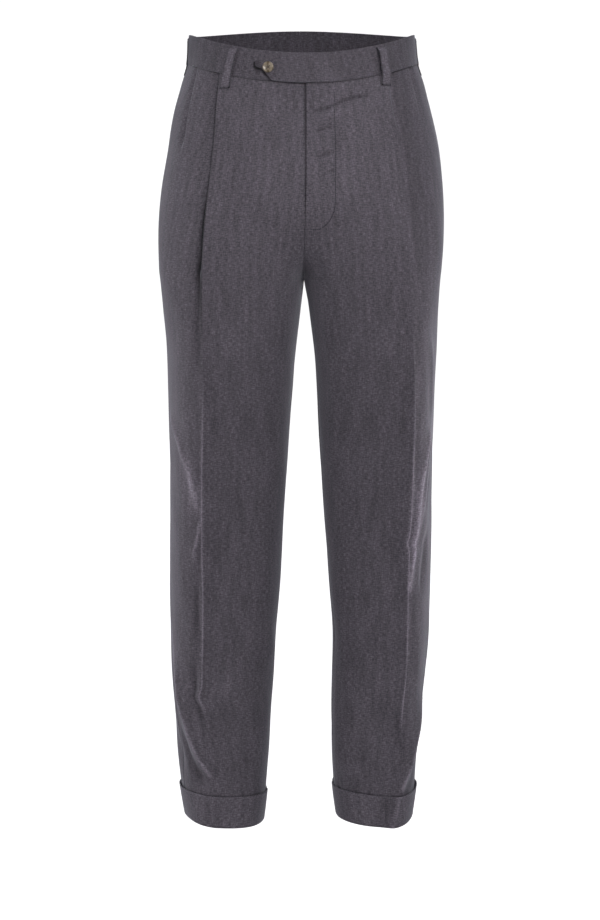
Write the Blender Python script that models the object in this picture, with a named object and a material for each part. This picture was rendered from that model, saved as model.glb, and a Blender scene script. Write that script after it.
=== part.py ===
"""Pleated dress trousers, worn: an empty, hollow shell of sewn cloth panels in one fixed pose.

The origin is the centre of the waist opening, +Z is up and the front faces -Y. Left and right
are the wearer's, so the left leg lies at +X. Every panel is a wall of cloth mapped onto one
surface, surface_point(side, u, z). u runs round one half of the garment:

    0 centre front or inseam, 1 front crease, 2 side, 3 back crease, 4 centre back or inseam

and z is the height. Above the fork a half is open along the centre seam, below it the half
closes into a leg. Side +1 is left and -1 right, and distances in the tables are in
millimetres, measured outward from the middle plane on either side.
"""
import functools
import math

import bmesh
import bpy
from mathutils import Matrix, Vector

MM = 0.001

# Cloth
CLOTH = 1.0 * MM
BAND_WALL = 2.4 * MM
SEAM_GAP = 0.3 * MM

# Heights
FORK_Z = -312 * MM
CROTCH_CURVE_HEIGHT = 100 * MM
LEG_BLEND = 190 * MM
SEAM_REACH = 0.27
LEG_SQUARE = (0.10, 0.05, 0.05, 0.06)
FORK_Y = -6 * MM
HEM_Z = -1036 * MM
PLEATS_END_Z = -330 * MM
LEG_SPREAD = 150 * MM
BACK_CREASE_SHIFT = 18 * MM
BACK_CREASE_ANGLE = math.radians(135)
CREASE_WIDTH_U = 0.1
CREASE_ANGLE_ROUNDS = 6
LENGTH_OF_U = 100.0 * MM
COLUMN_CROWDING = 1.3

# Waistband: the lower edge dips at the front and rises at the back
BAND_HEIGHT = 39.5 * MM
BAND_SIDE_Z = -20 * MM
BAND_FRONT_DROP = 34 * MM
BAND_BACK_RISE = 16 * MM
BAND_LIFT = 0.8 * MM
TAB_LENGTH = 67 * MM
TAB_STAND_OFF = 3.6 * MM
TAB_POINT = 20.3 * MM
TAB_TIP_HEIGHT = 5 * MM
TAB_CUT_REACH = 30 * MM
TAB_END_U = 0.9

# Fly: the left front lies over the right one
FLY_UNDERLAP = 10 * MM
FLY_END_Z = -200 * MM
FLY_TAPER = 40 * MM
FLY_LIFT = 1.5 * MM
FLY_BLEND = 45 * MM

# Side pockets
POCKET_MOUTH_TOP = 32 * MM
POCKET_MOUTH_END_Z = -200 * MM
FACING_DEPTH = 2.3 * MM
FACING_UNDERLAP = 10 * MM
FACING_LEAST = 5 * MM
FACING_RISE_START = 4 * MM
FACING_RISE = 18 * MM

# Turn-ups
CUFF_HEIGHT = 42 * MM
CUFF_WALL = 1.5 * MM
CUFF_CLEARANCE = 0.9 * MM
CUFF_FRONT_DROP = {1: 10 * MM, -1: 5.5 * MM}
CUFF_INNER_DROP = {1: 0.0, -1: 9 * MM}
CUFF_GAPE_WIDTH_U = 0.3
CUFF_GAPE_COLUMNS = ("side", "centre_u", "gape")
CUFF_GAPES = (
    (1, 1.6, 2.5),
    (-1, 3.4, 1.0),
)

# Belt loops
LOOP_WIDTH = 14.5 * MM
LOOP_WALL = 1.8 * MM
LOOP_LENGTH = 50 * MM
LOOP_FOOT_DROP = 15 * MM
LOOP_SEAT = 0.5 * MM
LOOP_FOOT = 6 * MM
LOOP_SLOPE = 4 * MM
LOOP_COLUMNS = ("name", "side", "foot_u", "head_u", "stand_off")
LOOPS = (
    ("front_left", 1, 0.98, 0.96, 7.2),
    ("front_right", -1, 0.91, 0.83, 7.2),
    ("side_left", 1, 2.0, 2.0, 5.2),
    ("side_right", -1, 2.0, 2.0, 5.2),
    ("back", 1, 4.0, 4.0, 5.2),
)

# Waist button
BUTTON_DIAMETER = 15 * MM
BUTTON_THICKNESS = 3.2 * MM
BUTTON_HOLE_DIAMETER = 1.8 * MM
BUTTON_HOLE_PITCH = 3.4 * MM
BUTTON_FROM_FLY = 49.5 * MM
BUTTON_Z = -34 * MM
BUTTON_STEPS = 28
BUTTON_HOLE_STEPS = 10

# Section of the button: parts of its radius and of its thickness
BUTTON_SECTION_COLUMNS = ("radius", "height")
BUTTON_SECTION = (
    (0.0, 0.0),
    (0.75, 0.0),
    (1.0, 0.35),
    (1.0, 0.75),
    (0.88, 1.0),
    (0.68, 0.72),
    (0.0, 0.72),
)

# Outline of each half: distances from the middle plane to the outer and the inner edge, and
# to the front crease, by height
OUTLINE_COLUMNS = ("z", "out_right", "in_right", "crease_right", "out_left", "in_left", "crease_left")
OUTLINE = (
    (40, 151, -4, 104, 153, 4, 108),
    (20, 152, -4, 104, 154, 4, 108),
    (-20, 154, -4, 106, 158, 4, 111),
    (-46, 162, -4, 108, 167, 4, 114),
    (-87, 173, -4, 112, 177, 4, 119),
    (-136, 180, -4, 115, 187, 4, 129),
    (-190, 188, -4, 121, 192, 4, 134),
    (-245, 191, -4, 127, 192, 4, 140),
    (-299, 191, -4, 130, 189, 4, 144),
    (-312, 190, -4, 130, 188, 4, 144),
    (-354, 187, 1, 130, 186, 11, 147),
    (-408, 182, 7, 130, 183.5, 18, 149),
    (-462, 180, 12, 130, 180.5, 22, 151),
    (-517, 178.5, 16, 131, 179, 24, 151),
    (-571, 178, 19, 132, 178, 27, 149),
    (-626, 178, 23, 132, 177.5, 31, 147),
    (-680, 178, 26, 132, 176.5, 35, 144),
    (-734, 178, 29, 131, 175, 39, 143),
    (-789, 177, 34, 131, 173.5, 43, 142),
    (-843, 175, 37, 132, 168.5, 42, 140),
    (-898, 171, 41, 130, 163, 41, 135),
    (-952, 168, 44, 124, 158, 42, 134),
    (-1006, 161, 48, 117, 153, 45, 131),
    (-1050, 156, 51, 114, 151, 48, 124),
)

# Depth of the body of the garment: how far the front and the back stand from the side line,
# how square the torso section is there, and the height of the pressed creases
DEPTH_COLUMNS = ("z", "front", "back", "side_y", "front_square", "back_square", "crease_ridge")
DEPTH = (
    (40, 112, 106, 0, 0.05, 0.05, 0),
    (-20, 115, 111, 0, 0.05, 0.05, 0),
    (-87, 121, 124, 0, 0.08, 0.06, 0),
    (-136, 123, 134, 0, 0.10, 0.07, 0.5),
    (-190, 123, 140, 0, 0.13, 0.09, 1.0),
    (-245, 122, 141, 0, 0.17, 0.12, 1.5),
    (-312, 119, 134, 0, 0.22, 0.16, 2.0),
    (-354, 117, 125, 1, 0.24, 0.18, 2.2),
    (-408, 114, 116, 2, 0.24, 0.18, 2.2),
    (-462, 109, 109, 2, 0.24, 0.18, 2.5),
    (-571, 98, 98, 2, 0.24, 0.18, 2.5),
    (-680, 90, 91, 3, 0.24, 0.18, 2.5),
    (-789, 84, 91, 5, 0.24, 0.18, 2.5),
    (-898, 80, 90, 6, 0.24, 0.18, 2.0),
    (-1006, 79, 86, 4, 0.24, 0.18, 1.5),
    (-1050, 79, 85, 4, 0.24, 0.18, 1.5),
)

# Seam places: x of the centre front and centre back seams, and u of the side seam and inseam
SEAM_COLUMNS = ("z", "front_x", "back_x", "side_u_right", "inseam_u_right", "side_u_left", "inseam_u_left")
SEAMS = (
    (40, 7, -2, 2.04, 0, 2.04, 0),
    (-200, 7, -1, 2.04, 0, 2.04, 0),
    (-312, 4, 4, 2.04, 0, 2.04, 0),
    (-450, 4, 4, 2.02, 0.02, 2.05, 0.06),
    (-700, 4, 4, 1.90, 0.02, 2.10, 0.18),
    (-900, 4, 4, 1.68, 0, 2.10, 0.20),
    (-1050, 4, 4, 1.62, 0, 2.10, 0.22),
)

# Reverse pleats: where the fold edge lies beyond the crease line at the waist and where the
# fold has opened out, the depth tucked under there, and how far the under layer takes to rise
PLEAT_COLUMNS = ("name", "offset_top", "offset_end", "end_z", "depth_top", "rise", "opening")
PLEATS = (
    ("first", 0, 0, -330, 23, 25, 0.22),
    ("second", 42, 50, -150, 13, 12, 0.5),
)
PLEAT_TOP_Z = BAND_SIDE_Z - 20 * MM
PLEAT_LEAST_DEPTH = 1.0 * MM
PLEAT_DEPTH_POWER = 1.4
PLEAT_STEP = 1.0 * MM
PLEAT_OVERHANG = 1.5 * MM
PLEAT_PITCH = 1.8 * MM
PLEAT_TURN_STEPS = 3
PLEAT_RISE_STEPS = 3

# The largest soft folds: a ridge (or trough, where the height is negative) along a line from
# (u, z) to (u, z), with its height and half width
FOLD_COLUMNS = ("side", "u_from", "z_from", "u_to", "z_to", "height", "half_width")
FOLDS = (
    (-1, 1.55, -500, 1.10, -720, 3.0, 17),
    (-1, 0.55, -540, 0.80, -800, -2.0, 24),
    (-1, 1.62, -800, 1.10, -985, 4.5, 13),
    (-1, 1.85, -900, 1.45, -1000, -5.0, 16),
    (-1, 0.35, -800, 0.85, -930, 3.0, 20),
    (-1, 3.0, -560, 2.6, -680, -3.5, 22),
    (-1, 3.2, -300, 2.7, -420, 3.0, 24),
    (1, 1.45, -520, 1.12, -720, 3.0, 15),
    (1, 1.60, -860, 1.15, -1000, 3.0, 18),
    (1, 1.90, -930, 1.60, -1000, -4.5, 14),
    (1, 0.60, -820, 0.90, -960, -2.5, 22),
    (1, 2.9, -580, 2.5, -700, -3.5, 22),
    (1, 3.1, -310, 2.8, -430, 3.0, 24),
)

# Rows and columns of the panels
TORSO_ROWS = (0.12, 0.28, 0.44, 0.54, 0.64, 0.74, 0.86)
CROTCH_ROW_ANGLES = (0, 25, 45, 60, 72, 82, 90)
LEG_ROWS = (-322, -345, -375, -415, -462, -517, -571, -626, -680, -734, -789, -828, -865, -898, -930,
            -960, -985, -1006)
FRONT_STEPS = 8
BETWEEN_PLEATS_STEPS = 2
POCKET_STEPS = 3
FACING_STEPS = 4
BACK_STEPS = 13
BAND_STEPS = 18
TAB_STEPS = 9
CUFF_STEPS = 44

WOOL_COLOUR = (0.075, 0.068, 0.08, 1.0)
HORN_COLOUR = (0.09, 0.06, 0.04, 1.0)


@functools.lru_cache(maxsize=None)
def table_value(columns, rows, name, z):
    """The named column at height z (metres), read along a smooth curve through the rows."""
    column = columns.index(name)
    height = max(min(z / MM, rows[0][0]), rows[-1][0])
    last = len(rows) - 1
    index = next(i for i in range(last) if height >= rows[i + 1][0])

    def slope(at):
        before, after = rows[max(at - 1, 0)], rows[min(at + 1, last)]
        return (after[column] - before[column]) / (after[0] - before[0])

    above, below = rows[index], rows[index + 1]
    span = below[0] - above[0]
    t = (height - above[0]) / span
    value = ((1 + 2 * t) * (1 - t) ** 2 * above[column] + t * (1 - t) ** 2 * span * slope(index)
             + t * t * (3 - 2 * t) * below[column] - t * t * (1 - t) * span * slope(index + 1))
    return value


def outline(name, side, z):
    return table_value(OUTLINE_COLUMNS, OUTLINE, name + ("_left" if side > 0 else "_right"), z) * MM


def depth(name, z):
    return table_value(DEPTH_COLUMNS, DEPTH, name, z)


def seam_u(name, side, z):
    return table_value(SEAM_COLUMNS, SEAMS, name + ("_u_left" if side > 0 else "_u_right"), z)


def seam_x(name, side, z):
    return side * table_value(SEAM_COLUMNS, SEAMS, name + "_x", z) * MM


def smooth_step(value):
    t = min(max(value, 0.0), 1.0)
    return t * t * (3 - 2 * t)


def crease_place(side, z, back):
    """Distance of the front or back crease from the middle plane."""
    crease = outline("crease", side, z)
    if not back:
        return crease
    return outline("in", side, z) + outline("out", side, z) - crease + BACK_CREASE_SHIFT


def torso_swell(angle, z):
    """How much further out than an ellipse the squarish torso section stands."""
    face = "front" if math.cos(angle) > 0 else "back"
    return 1 + depth(face + "_square", z) * math.sin(2 * angle) ** 2


def torso_centre(side, angle, z):
    return (seam_x("front", side, z) * (1 + math.cos(angle))
            + seam_x("back", side, z) * (1 - math.cos(angle))) / 2


@functools.lru_cache(maxsize=None)
def crease_angle(side, z):
    """Angle at which the torso section passes through the front crease."""
    out, crease = outline("out", side, z), crease_place(side, z, False)
    angle = math.asin(min(crease / out, 0.97))
    for _ in range(CREASE_ANGLE_ROUNDS):
        centre = torso_centre(side, angle, z)
        angle = math.asin(min((crease - centre) / ((out - centre) * torso_swell(angle, z)), 0.97))
    return angle


@functools.lru_cache(maxsize=None)
def torso_angle(side, u, z):
    """Angle round the torso section: 0 at centre front, 90 degrees at the side."""
    stops = (0.0, crease_angle(side, z), 0.5 * math.pi, BACK_CREASE_ANGLE, math.pi)
    index = min(max(int(math.floor(u)), 0), 3)
    return stops[index] + (u - index) * (stops[index + 1] - stops[index])


def torso_point(side, u, z):
    angle = torso_angle(side, u, z)
    swell, centre = torso_swell(angle, z), torso_centre(side, angle, z)
    x = centre + (outline("out", side, z) - centre) * swell * math.sin(angle)
    reach = depth("front" if math.cos(angle) > 0 else "back", z) * MM
    return x, -reach * swell * math.cos(angle)


def leg_point(side, u, z):
    turn = u % 4.0
    quarter = int(turn)
    angle = (turn - quarter) * 0.5 * math.pi
    swell = 1 + LEG_SQUARE[quarter] * math.sin(2 * angle) ** 2
    sine, cosine = swell * math.sin(angle), swell * math.cos(angle)
    front_x, back_x = crease_place(side, z, False), crease_place(side, z, True)
    inner, outer = outline("in", side, z), outline("out", side, z)
    front, back = -depth("front", z) * MM, depth("back", z) * MM
    side_y = depth("side_y", z) * MM
    if quarter == 0:
        return front_x - (front_x - inner) * cosine, FORK_Y + (front - FORK_Y) * sine
    if quarter == 1:
        return front_x + (outer - front_x) * sine, side_y + (front - side_y) * cosine
    if quarter == 2:
        return back_x + (outer - back_x) * cosine, side_y + (back - side_y) * sine
    return back_x - (back_x - inner) * sine, FORK_Y + (back - FORK_Y) * cosine


def leg_share(u, z):
    """0 where the section is the open torso, 1 where it is a closed leg.

    At the centre seam the share follows a quarter ellipse, which draws the crotch curve. Away
    from the seam it changes slowly."""
    s = min(max((FORK_Z + CROTCH_CURVE_HEIGHT - z) / CROTCH_CURVE_HEIGHT, 0.0), 1.0)
    at_seam = 1 - math.sqrt(1 - s * s)
    elsewhere = smooth_step((FORK_Z + CROTCH_CURVE_HEIGHT - z) / LEG_BLEND)
    from_seam = min(abs(u), abs(4 - u)) / SEAM_REACH
    near_seam = math.exp(-from_seam * from_seam)
    return elsewhere + (at_seam - elsewhere) * near_seam


def crease_lift(u, z):
    """A pressed crease stands out as a narrow ridge at u = 1 and u = 3."""
    ridge = depth("crease_ridge", z) * MM
    nearest = min(abs(u - 1), abs(u - 3))
    return ridge * math.exp(-nearest / CREASE_WIDTH_U)


def fold_lift(side, u, z):
    total = 0.0
    for values in FOLDS:
        fold = dict(zip(FOLD_COLUMNS, values))
        if fold["side"] != side:
            continue
        t = (z / MM - fold["z_from"]) / (fold["z_to"] - fold["z_from"])
        if not 0 < t < 1:
            continue
        line_u = fold["u_from"] + (fold["u_to"] - fold["u_from"]) * t
        across = (u - line_u) * LENGTH_OF_U / (fold["half_width"] * MM)
        total += fold["height"] * MM * math.sin(math.pi * t) * math.exp(-across * across)
    return total


@functools.lru_cache(maxsize=None)
def bare_point(side, u, z):
    """The smooth surface without creases and folds."""
    share = leg_share(u, z)
    x, y = torso_point(side, u, z)
    if share > 0:
        leg_x, leg_y = leg_point(side, u, z)
        x, y = x + (leg_x - x) * share, y + (leg_y - y) * share
    return Vector((side * (x + SEAM_GAP / 2), y, z))


@functools.lru_cache(maxsize=None)
def normal_at(side, u, z):
    """Outward direction of the smooth surface."""
    step_u, step_z = 0.01, 1.0 * MM
    lower = z - 2 * step_z if FORK_Z - step_z < z < FORK_Z + 3 * step_z else z - step_z
    upper = z if lower < z - 1.5 * step_z else z + step_z
    along = bare_point(side, u + step_u, z) - bare_point(side, u - step_u, z)
    down = bare_point(side, u, lower) - bare_point(side, u, upper)
    return (along.cross(down) * -side).normalized()


def surface_point(side, u, z, lift=0.0):
    total = lift + crease_lift(u, z) + fold_lift(side, u, z)
    return bare_point(side, u, z) + normal_at(side, u, z) * total


@functools.lru_cache(maxsize=None)
def u_beyond(side, u, z, distance):
    """The u that lies a distance along the section beyond u."""
    if distance == 0:
        return u
    result = u + math.copysign(0.02, distance)
    for _ in range(3):
        reached = (bare_point(side, result, z) - bare_point(side, u, z)).length
        result = u + (result - u) * abs(distance) / max(reached, 0.01 * MM)
    return result


def band_lower_z(side, u):
    angle = torso_angle(side, u, BAND_SIDE_Z)
    drop = BAND_FRONT_DROP if math.cos(angle) > 0 else -BAND_BACK_RISE
    return BAND_SIDE_Z - drop * math.cos(angle) ** 2


def cuff_lower_z(side, u):
    """The hem dips where the front crease meets the shoe, and the right one also inwards."""
    front = max(math.sin(0.5 * math.pi * u), 0.0) ** 2 if u < 2 else 0.0
    inner = 0.5 + 0.5 * math.cos(0.5 * math.pi * u)
    return HEM_Z - CUFF_FRONT_DROP[side] * front - CUFF_INNER_DROP[side] * inner


def hem_z(side, u):
    return cuff_lower_z(side, u) + CUFF_WALL + SEAM_GAP


def panel_top_z(side, u):
    return band_lower_z(side, u) - SEAM_GAP


def panel_rows():
    """Rows from waist to hem: functions of the column's own u."""
    crotch_top = FORK_Z + CROTCH_CURVE_HEIGHT
    rows = [panel_top_z]
    for part in TORSO_ROWS:
        rows.append(lambda side, u, part=part: panel_top_z(side, u) * (1 - part) + crotch_top * part)
    for angle in CROTCH_ROW_ANGLES:
        height = crotch_top - CROTCH_CURVE_HEIGHT * math.sin(math.radians(angle))
        rows.append(lambda side, u, height=height: height)
    for height in LEG_ROWS:
        rows.append(lambda side, u, height=height: height * MM)
    rows.append(hem_z)
    return rows


def pleat_strength(pleat, z):
    """1 at the waist, 0 where the pleat has opened out."""
    end = pleat["end_z"] * MM
    return min(max((z - end) / (PLEAT_TOP_Z - end), 0.0), 1.0)


def pleat_columns(side, pleat, z):
    """Stations of one Z-shaped pleat: distance beyond the crease, offset and direction."""
    strength = pleat_strength(pleat, z)
    offset = (pleat["offset_end"] + (pleat["offset_top"] - pleat["offset_end"]) * strength) * MM
    tuck = PLEAT_LEAST_DEPTH + pleat["depth_top"] * MM * strength ** PLEAT_DEPTH_POWER
    closed = smooth_step(strength / pleat["opening"])
    turn = math.pi * closed / PLEAT_TURN_STEPS
    turn_length = math.pi * PLEAT_PITCH / 2 / PLEAT_TURN_STEPS
    stations = []
    along, level, direction = offset, 0.0, 0.0
    inward, outward = [(turn_length, -turn)], [(turn_length, turn)]
    moves = inward * PLEAT_TURN_STEPS + [(tuck, 0.0)] + outward * PLEAT_TURN_STEPS
    for length, bend in moves:
        direction += bend / 2
        along += length * math.cos(direction)
        level += length * math.sin(direction)
        direction += bend / 2
        stations.append((along, level, direction))
    out_again = max(offset + PLEAT_OVERHANG, along + PLEAT_STEP)
    stations.append((out_again, level, 0.0))
    for step in range(1, PLEAT_RISE_STEPS + 1):
        part = step / PLEAT_RISE_STEPS
        stations.append((out_again + part * pleat["rise"] * MM, level * (1 - smooth_step(part)), 0.0))
    return stations


def mouth_u(side, z):
    """Outer edge of the front: the slanted pocket mouth, then the side seam."""
    seam = seam_u("side", side, z)
    reach = min(max((z - POCKET_MOUTH_END_Z) / (BAND_SIDE_Z - POCKET_MOUTH_END_Z), 0.0), 1.0)
    return u_beyond(side, seam, z, -POCKET_MOUTH_TOP * reach - SEAM_GAP / 2)


def inseam_edge(side, z, direction):
    """u of a panel's edge at the inseam; above the fork it is the centre seam itself."""
    start = 0.0 if direction > 0 else 4.0
    if z > FORK_Z + 0.1 * MM:
        return start
    return u_beyond(side, start + seam_u("inseam", side, z), z, direction * SEAM_GAP / 2)


def front_edge(side, z):
    """u of the edge at the centre front or inseam."""
    if side < 0 and z > FLY_END_Z:
        return u_beyond(side, 0.0, z, -FLY_UNDERLAP * min((z - FLY_END_Z) / FLY_TAPER, 1.0))
    return inseam_edge(side, z, 1)


def fly_lift(side, u, start, z):
    """The left front stands out over the right one at the fly."""
    if side < 0 or z < FLY_END_Z - FLY_TAPER:
        return 0.0
    reach = (bare_point(side, u, z) - bare_point(side, start, z)).length / FLY_BLEND
    return FLY_LIFT * (1 - smooth_step(reach)) * smooth_step((z - FLY_END_Z + FLY_TAPER) / FLY_TAPER)


def front_stations(side, z):
    """Every column of a front at height z: (u, offset, direction, number of its pleat or 0)."""
    start = front_edge(side, z)
    stations = []
    for step in range(FRONT_STEPS + 1):
        u = start + (1 - start) * (1 - (1 - step / FRONT_STEPS) ** COLUMN_CROWDING)
        stations.append((u, fly_lift(side, u, start, z), 0.0, 0))
    last_along = 0.0
    for number, values in enumerate(PLEATS, 1):
        pleat = dict(zip(PLEAT_COLUMNS, values))
        folded = pleat_columns(side, pleat, z)
        first_along = folded[0][0] - PLEAT_STEP
        if last_along > 0:
            for step in range(1, BETWEEN_PLEATS_STEPS + 1):
                along = last_along + (first_along - last_along) * step / BETWEEN_PLEATS_STEPS
                pleat_number = number if step < BETWEEN_PLEATS_STEPS else 0
                stations.append((u_beyond(side, 1.0, z, along), 0.0, 0.0, pleat_number))
        for index, (along, level, direction) in enumerate(folded):
            pleat_number = number if index < len(folded) - 1 else 0
            stations.append((u_beyond(side, 1.0, z, along), level, direction, pleat_number))
        last_along = folded[-1][0]
    end = mouth_u(side, z)
    last_u = stations[-1][0]
    for step in range(1, POCKET_STEPS + 1):
        stations.append((last_u + (end - last_u) * step / POCKET_STEPS, 0.0, 0.0, 0))
    return spread_leg_columns(stations, end, z)


def spread_leg_columns(stations, end, z):
    """Below the pleats the columns that go on spread evenly from the crease to the side seam."""
    even = smooth_step((PLEATS_END_Z - z) / LEG_SPREAD)
    if even == 0:
        return stations
    kept = [index for index in range(FRONT_STEPS, len(stations)) if not stations[index][3]]
    spread = list(stations)
    for order, index in enumerate(kept):
        u, offset, direction, _ = stations[index]
        target = 1 + (end - 1) * order / (len(kept) - 1)
        spread[index] = (u + (target - u) * even, offset, direction, 0)
    return spread


def back_stations(side, z):
    start = u_beyond(side, seam_u("side", side, z), z, SEAM_GAP / 2)
    end = inseam_edge(side, z, -1)
    count = BACK_STEPS
    return [(start + (end - start) * step / count, 0.0, 0.0, 0) for step in range(count + 1)]


def facing_stations(side, z):
    """The facing starts under the front's mouth edge and ends at the side seam."""
    mouth = mouth_u(side, z)
    seam = u_beyond(side, seam_u("side", side, z), z, -SEAM_GAP / 2)
    seam = max(seam, u_beyond(side, mouth, z, FACING_LEAST))
    stations = []
    for distance in (-FACING_UNDERLAP, -FACING_UNDERLAP / 2, 0.0):
        stations.append((u_beyond(side, mouth, z, distance), -FACING_DEPTH, 0.0, 0))
    for step in range(1, FACING_STEPS + 1):
        u = mouth + (seam - mouth) * step / FACING_STEPS
        beyond = (bare_point(side, u, z) - bare_point(side, mouth, z)).length
        rise = smooth_step((beyond - FACING_RISE_START) / FACING_RISE)
        stations.append((u, -FACING_DEPTH * (1 - rise), 0.0, 0))
    return stations


def wall_point(side, station, z, face, thickness):
    """A point of the wall: face 0 is the outer side of the cloth and 1 the inner one."""
    u, offset, direction, _ = station
    half = thickness / 2 if face == 0 else -thickness / 2
    shifted = u_beyond(side, u, z, -half * math.sin(direction))
    return surface_point(side, shifted, z, offset - thickness / 2 + half * math.cos(direction))


def material(name, colour, roughness):
    made = bpy.data.materials.new(name)
    made.use_nodes = True
    shader = made.node_tree.nodes["Principled BSDF"]
    shader.inputs["Base Color"].default_value = colour
    shader.inputs["Roughness"].default_value = roughness
    shader.inputs["Metallic"].default_value = 0.0
    made.diffuse_color = colour
    return made


def add_object(name, mesh_data, colour=WOOL_COLOUR, roughness=0.9):
    """Turns a finished bmesh into a named object with its own material."""
    bmesh.ops.recalc_face_normals(mesh_data, faces=mesh_data.faces[:])
    mesh = bpy.data.meshes.new(name)
    mesh_data.to_mesh(mesh)
    mesh_data.free()
    mesh.materials.append(material(name + "_material", colour, roughness))
    mesh.shade_smooth()
    mesh.set_sharp_from_angle(angle=math.radians(40))
    made = bpy.data.objects.new(name, mesh)
    bpy.context.scene.collection.objects.link(made)
    return made


def parameter_grid(columns, rows):
    """A flat grid whose vertex at (i, j, 0) is column i and row j."""
    mesh_data = bmesh.new()
    scale = Matrix.Diagonal((columns / 2, rows / 2, 1, 1))
    place = Matrix.Translation((columns / 2, rows / 2, 0)) @ scale
    bmesh.ops.create_grid(mesh_data, x_segments=columns, y_segments=rows, size=1.0, matrix=place)
    return mesh_data


def drop_columns(mesh_data, dropped, below_row):
    """Takes out the fine columns below a row, where the pleats have opened out."""
    doomed = []
    for edge in mesh_data.edges:
        first, second = (vertex.co for vertex in edge.verts)
        upright = abs(first.x - second.x) < 0.5
        if upright and round(first.x) in dropped and min(first.y, second.y) > below_row - 0.5:
            doomed.append(edge)
    bmesh.ops.dissolve_edges(mesh_data, edges=doomed, use_verts=True)


def thicken(mesh_data):
    """Extrudes the flat grid to a closed slab whose second face lies at height 1."""
    made = bmesh.ops.extrude_face_region(mesh_data, geom=mesh_data.faces[:])
    copied = [item for item in made["geom"] if isinstance(item, bmesh.types.BMVert)]
    bmesh.ops.translate(mesh_data, verts=copied, vec=(0, 0, 1))


def map_wall(mesh_data, side, stations_at, rows, thickness):
    """Lays the slab on the garment: column i, row j and face k of each vertex become a point."""
    settled = {}
    for vertex in mesh_data.verts:
        column, row, face = (round(value) for value in vertex.co)
        if (column, row) not in settled:
            settled[column, row] = row_station(side, stations_at, rows[row], column)
        station, z = settled[column, row]
        vertex.co = wall_point(side, station, z, face, thickness)
    bmesh.ops.triangulate(mesh_data, faces=mesh_data.faces[:])


def row_station(side, stations_at, row, column):
    """Where column and row cross: the row's height depends on the column's own u."""
    z = row(side, 1.0)
    station = stations_at(side, z)[column]
    for _ in range(3):
        z = row(side, station[0])
        station = stations_at(side, z)[column]
    return station, z


def make_panel(name, side, stations_at, rows, thickness=CLOTH):
    """A wall over the rows. The fine columns of a pleat stop at the first row under its end."""
    stations = stations_at(side, PLEATS_END_Z)
    mesh_data = parameter_grid(len(stations) - 1, len(rows) - 1)
    for number, values in enumerate(PLEATS, 1):
        dropped = {index for index, station in enumerate(stations) if station[3] == number}
        end_z = dict(zip(PLEAT_COLUMNS, values))["end_z"] * MM
        if dropped:
            first_row = next(i for i, row in enumerate(rows) if row(side, 1.5) < end_z)
            drop_columns(mesh_data, dropped, first_row)
    thicken(mesh_data)
    map_wall(mesh_data, side, stations_at, rows, thickness)
    return add_object(name, mesh_data)


def make_fronts_and_backs():
    rows = panel_rows()
    for word, side in (("left", 1), ("right", -1)):
        make_panel("front_" + word, side, front_stations, rows)
        make_panel("back_" + word, side, back_stations, rows)


def make_pocket_facings():
    rows = panel_rows()[:len(TORSO_ROWS)]
    last = POCKET_MOUTH_END_Z - 4 * MM
    rows = rows + [lambda side, u: last]
    for word, side in (("left", 1), ("right", -1)):
        make_panel("pocket_facing_" + word, side, facing_stations, rows)


def band_rows():
    return [lambda side, u, part=part: band_lower_z(side, u) + BAND_HEIGHT * part for part in (1, 0.5, 0)]


def band_stations(side, z):
    """The left band runs on past the fly as the tab, over the right band."""
    start = u_beyond(side, 0.0, z, -TAB_LENGTH if side > 0 else -FLY_UNDERLAP)
    steps = [start + (TAB_END_U - start) * step / TAB_STEPS for step in range(TAB_STEPS)]
    steps += [TAB_END_U + (4.0 - TAB_END_U) * step / BAND_STEPS for step in range(BAND_STEPS + 1)]
    stations = []
    for u in steps:
        lift = BAND_LIFT
        if side > 0:
            beyond = (bare_point(side, max(u, 0.0), z) - bare_point(side, 0.0, z)).length
            lift += TAB_STAND_OFF * (1 - smooth_step((beyond - FLY_UNDERLAP) / FLY_BLEND))
        stations.append((u, lift, 0.0, 0))
    return stations


def make_waistbands():
    for word, side in (("left", 1), ("right", -1)):
        made = make_panel("waistband_" + word, side, band_stations, band_rows(), thickness=BAND_WALL)
        if side > 0:
            trim_tab(made)


def trim_tab(waistband):
    """Cuts the tab's end to a blunt point at half its height."""
    tip_u = u_beyond(1, 0.0, BAND_SIDE_Z, -TAB_LENGTH)
    tip = surface_point(1, tip_u, BAND_SIDE_Z)
    middle_z = band_lower_z(1, tip_u) + BAND_HEIGHT / 2
    rise = (BAND_HEIGHT - TAB_TIP_HEIGHT) / 2
    mesh_data = bmesh.new()
    mesh_data.from_mesh(waistband.data)
    for direction in (-1, 1):
        plane_point = Vector((tip.x, tip.y, middle_z + direction * TAB_TIP_HEIGHT / 2))
        plane_normal = Vector((-rise, 0, direction * TAB_POINT)).normalized()
        geometry = mesh_data.verts[:] + mesh_data.edges[:] + mesh_data.faces[:]
        near = [item for item in geometry if min_x(item) < tip.x + TAB_CUT_REACH]
        made = bmesh.ops.bisect_plane(mesh_data, geom=near, plane_co=plane_point, plane_no=plane_normal,
                                      clear_outer=True, dist=1e-6)
        rim = [item for item in made["geom_cut"] if isinstance(item, bmesh.types.BMEdge)]
        bmesh.ops.holes_fill(mesh_data, edges=rim)
    bmesh.ops.triangulate(mesh_data, faces=mesh_data.faces[:])
    bmesh.ops.recalc_face_normals(mesh_data, faces=mesh_data.faces[:])
    mesh_data.to_mesh(waistband.data)
    mesh_data.free()


def min_x(item):
    if isinstance(item, bmesh.types.BMVert):
        return item.co.x
    return min(vertex.co.x for vertex in item.verts)


def cuff_gape(side, u):
    """How far the top edge of a turn-up stands off the leg."""
    rows = [dict(zip(CUFF_GAPE_COLUMNS, values)) for values in CUFF_GAPES]
    row = next(row for row in rows if row["side"] == side)
    from_centre = (u - row["centre_u"]) / CUFF_GAPE_WIDTH_U
    return row["gape"] * MM * math.exp(-from_centre * from_centre)


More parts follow.
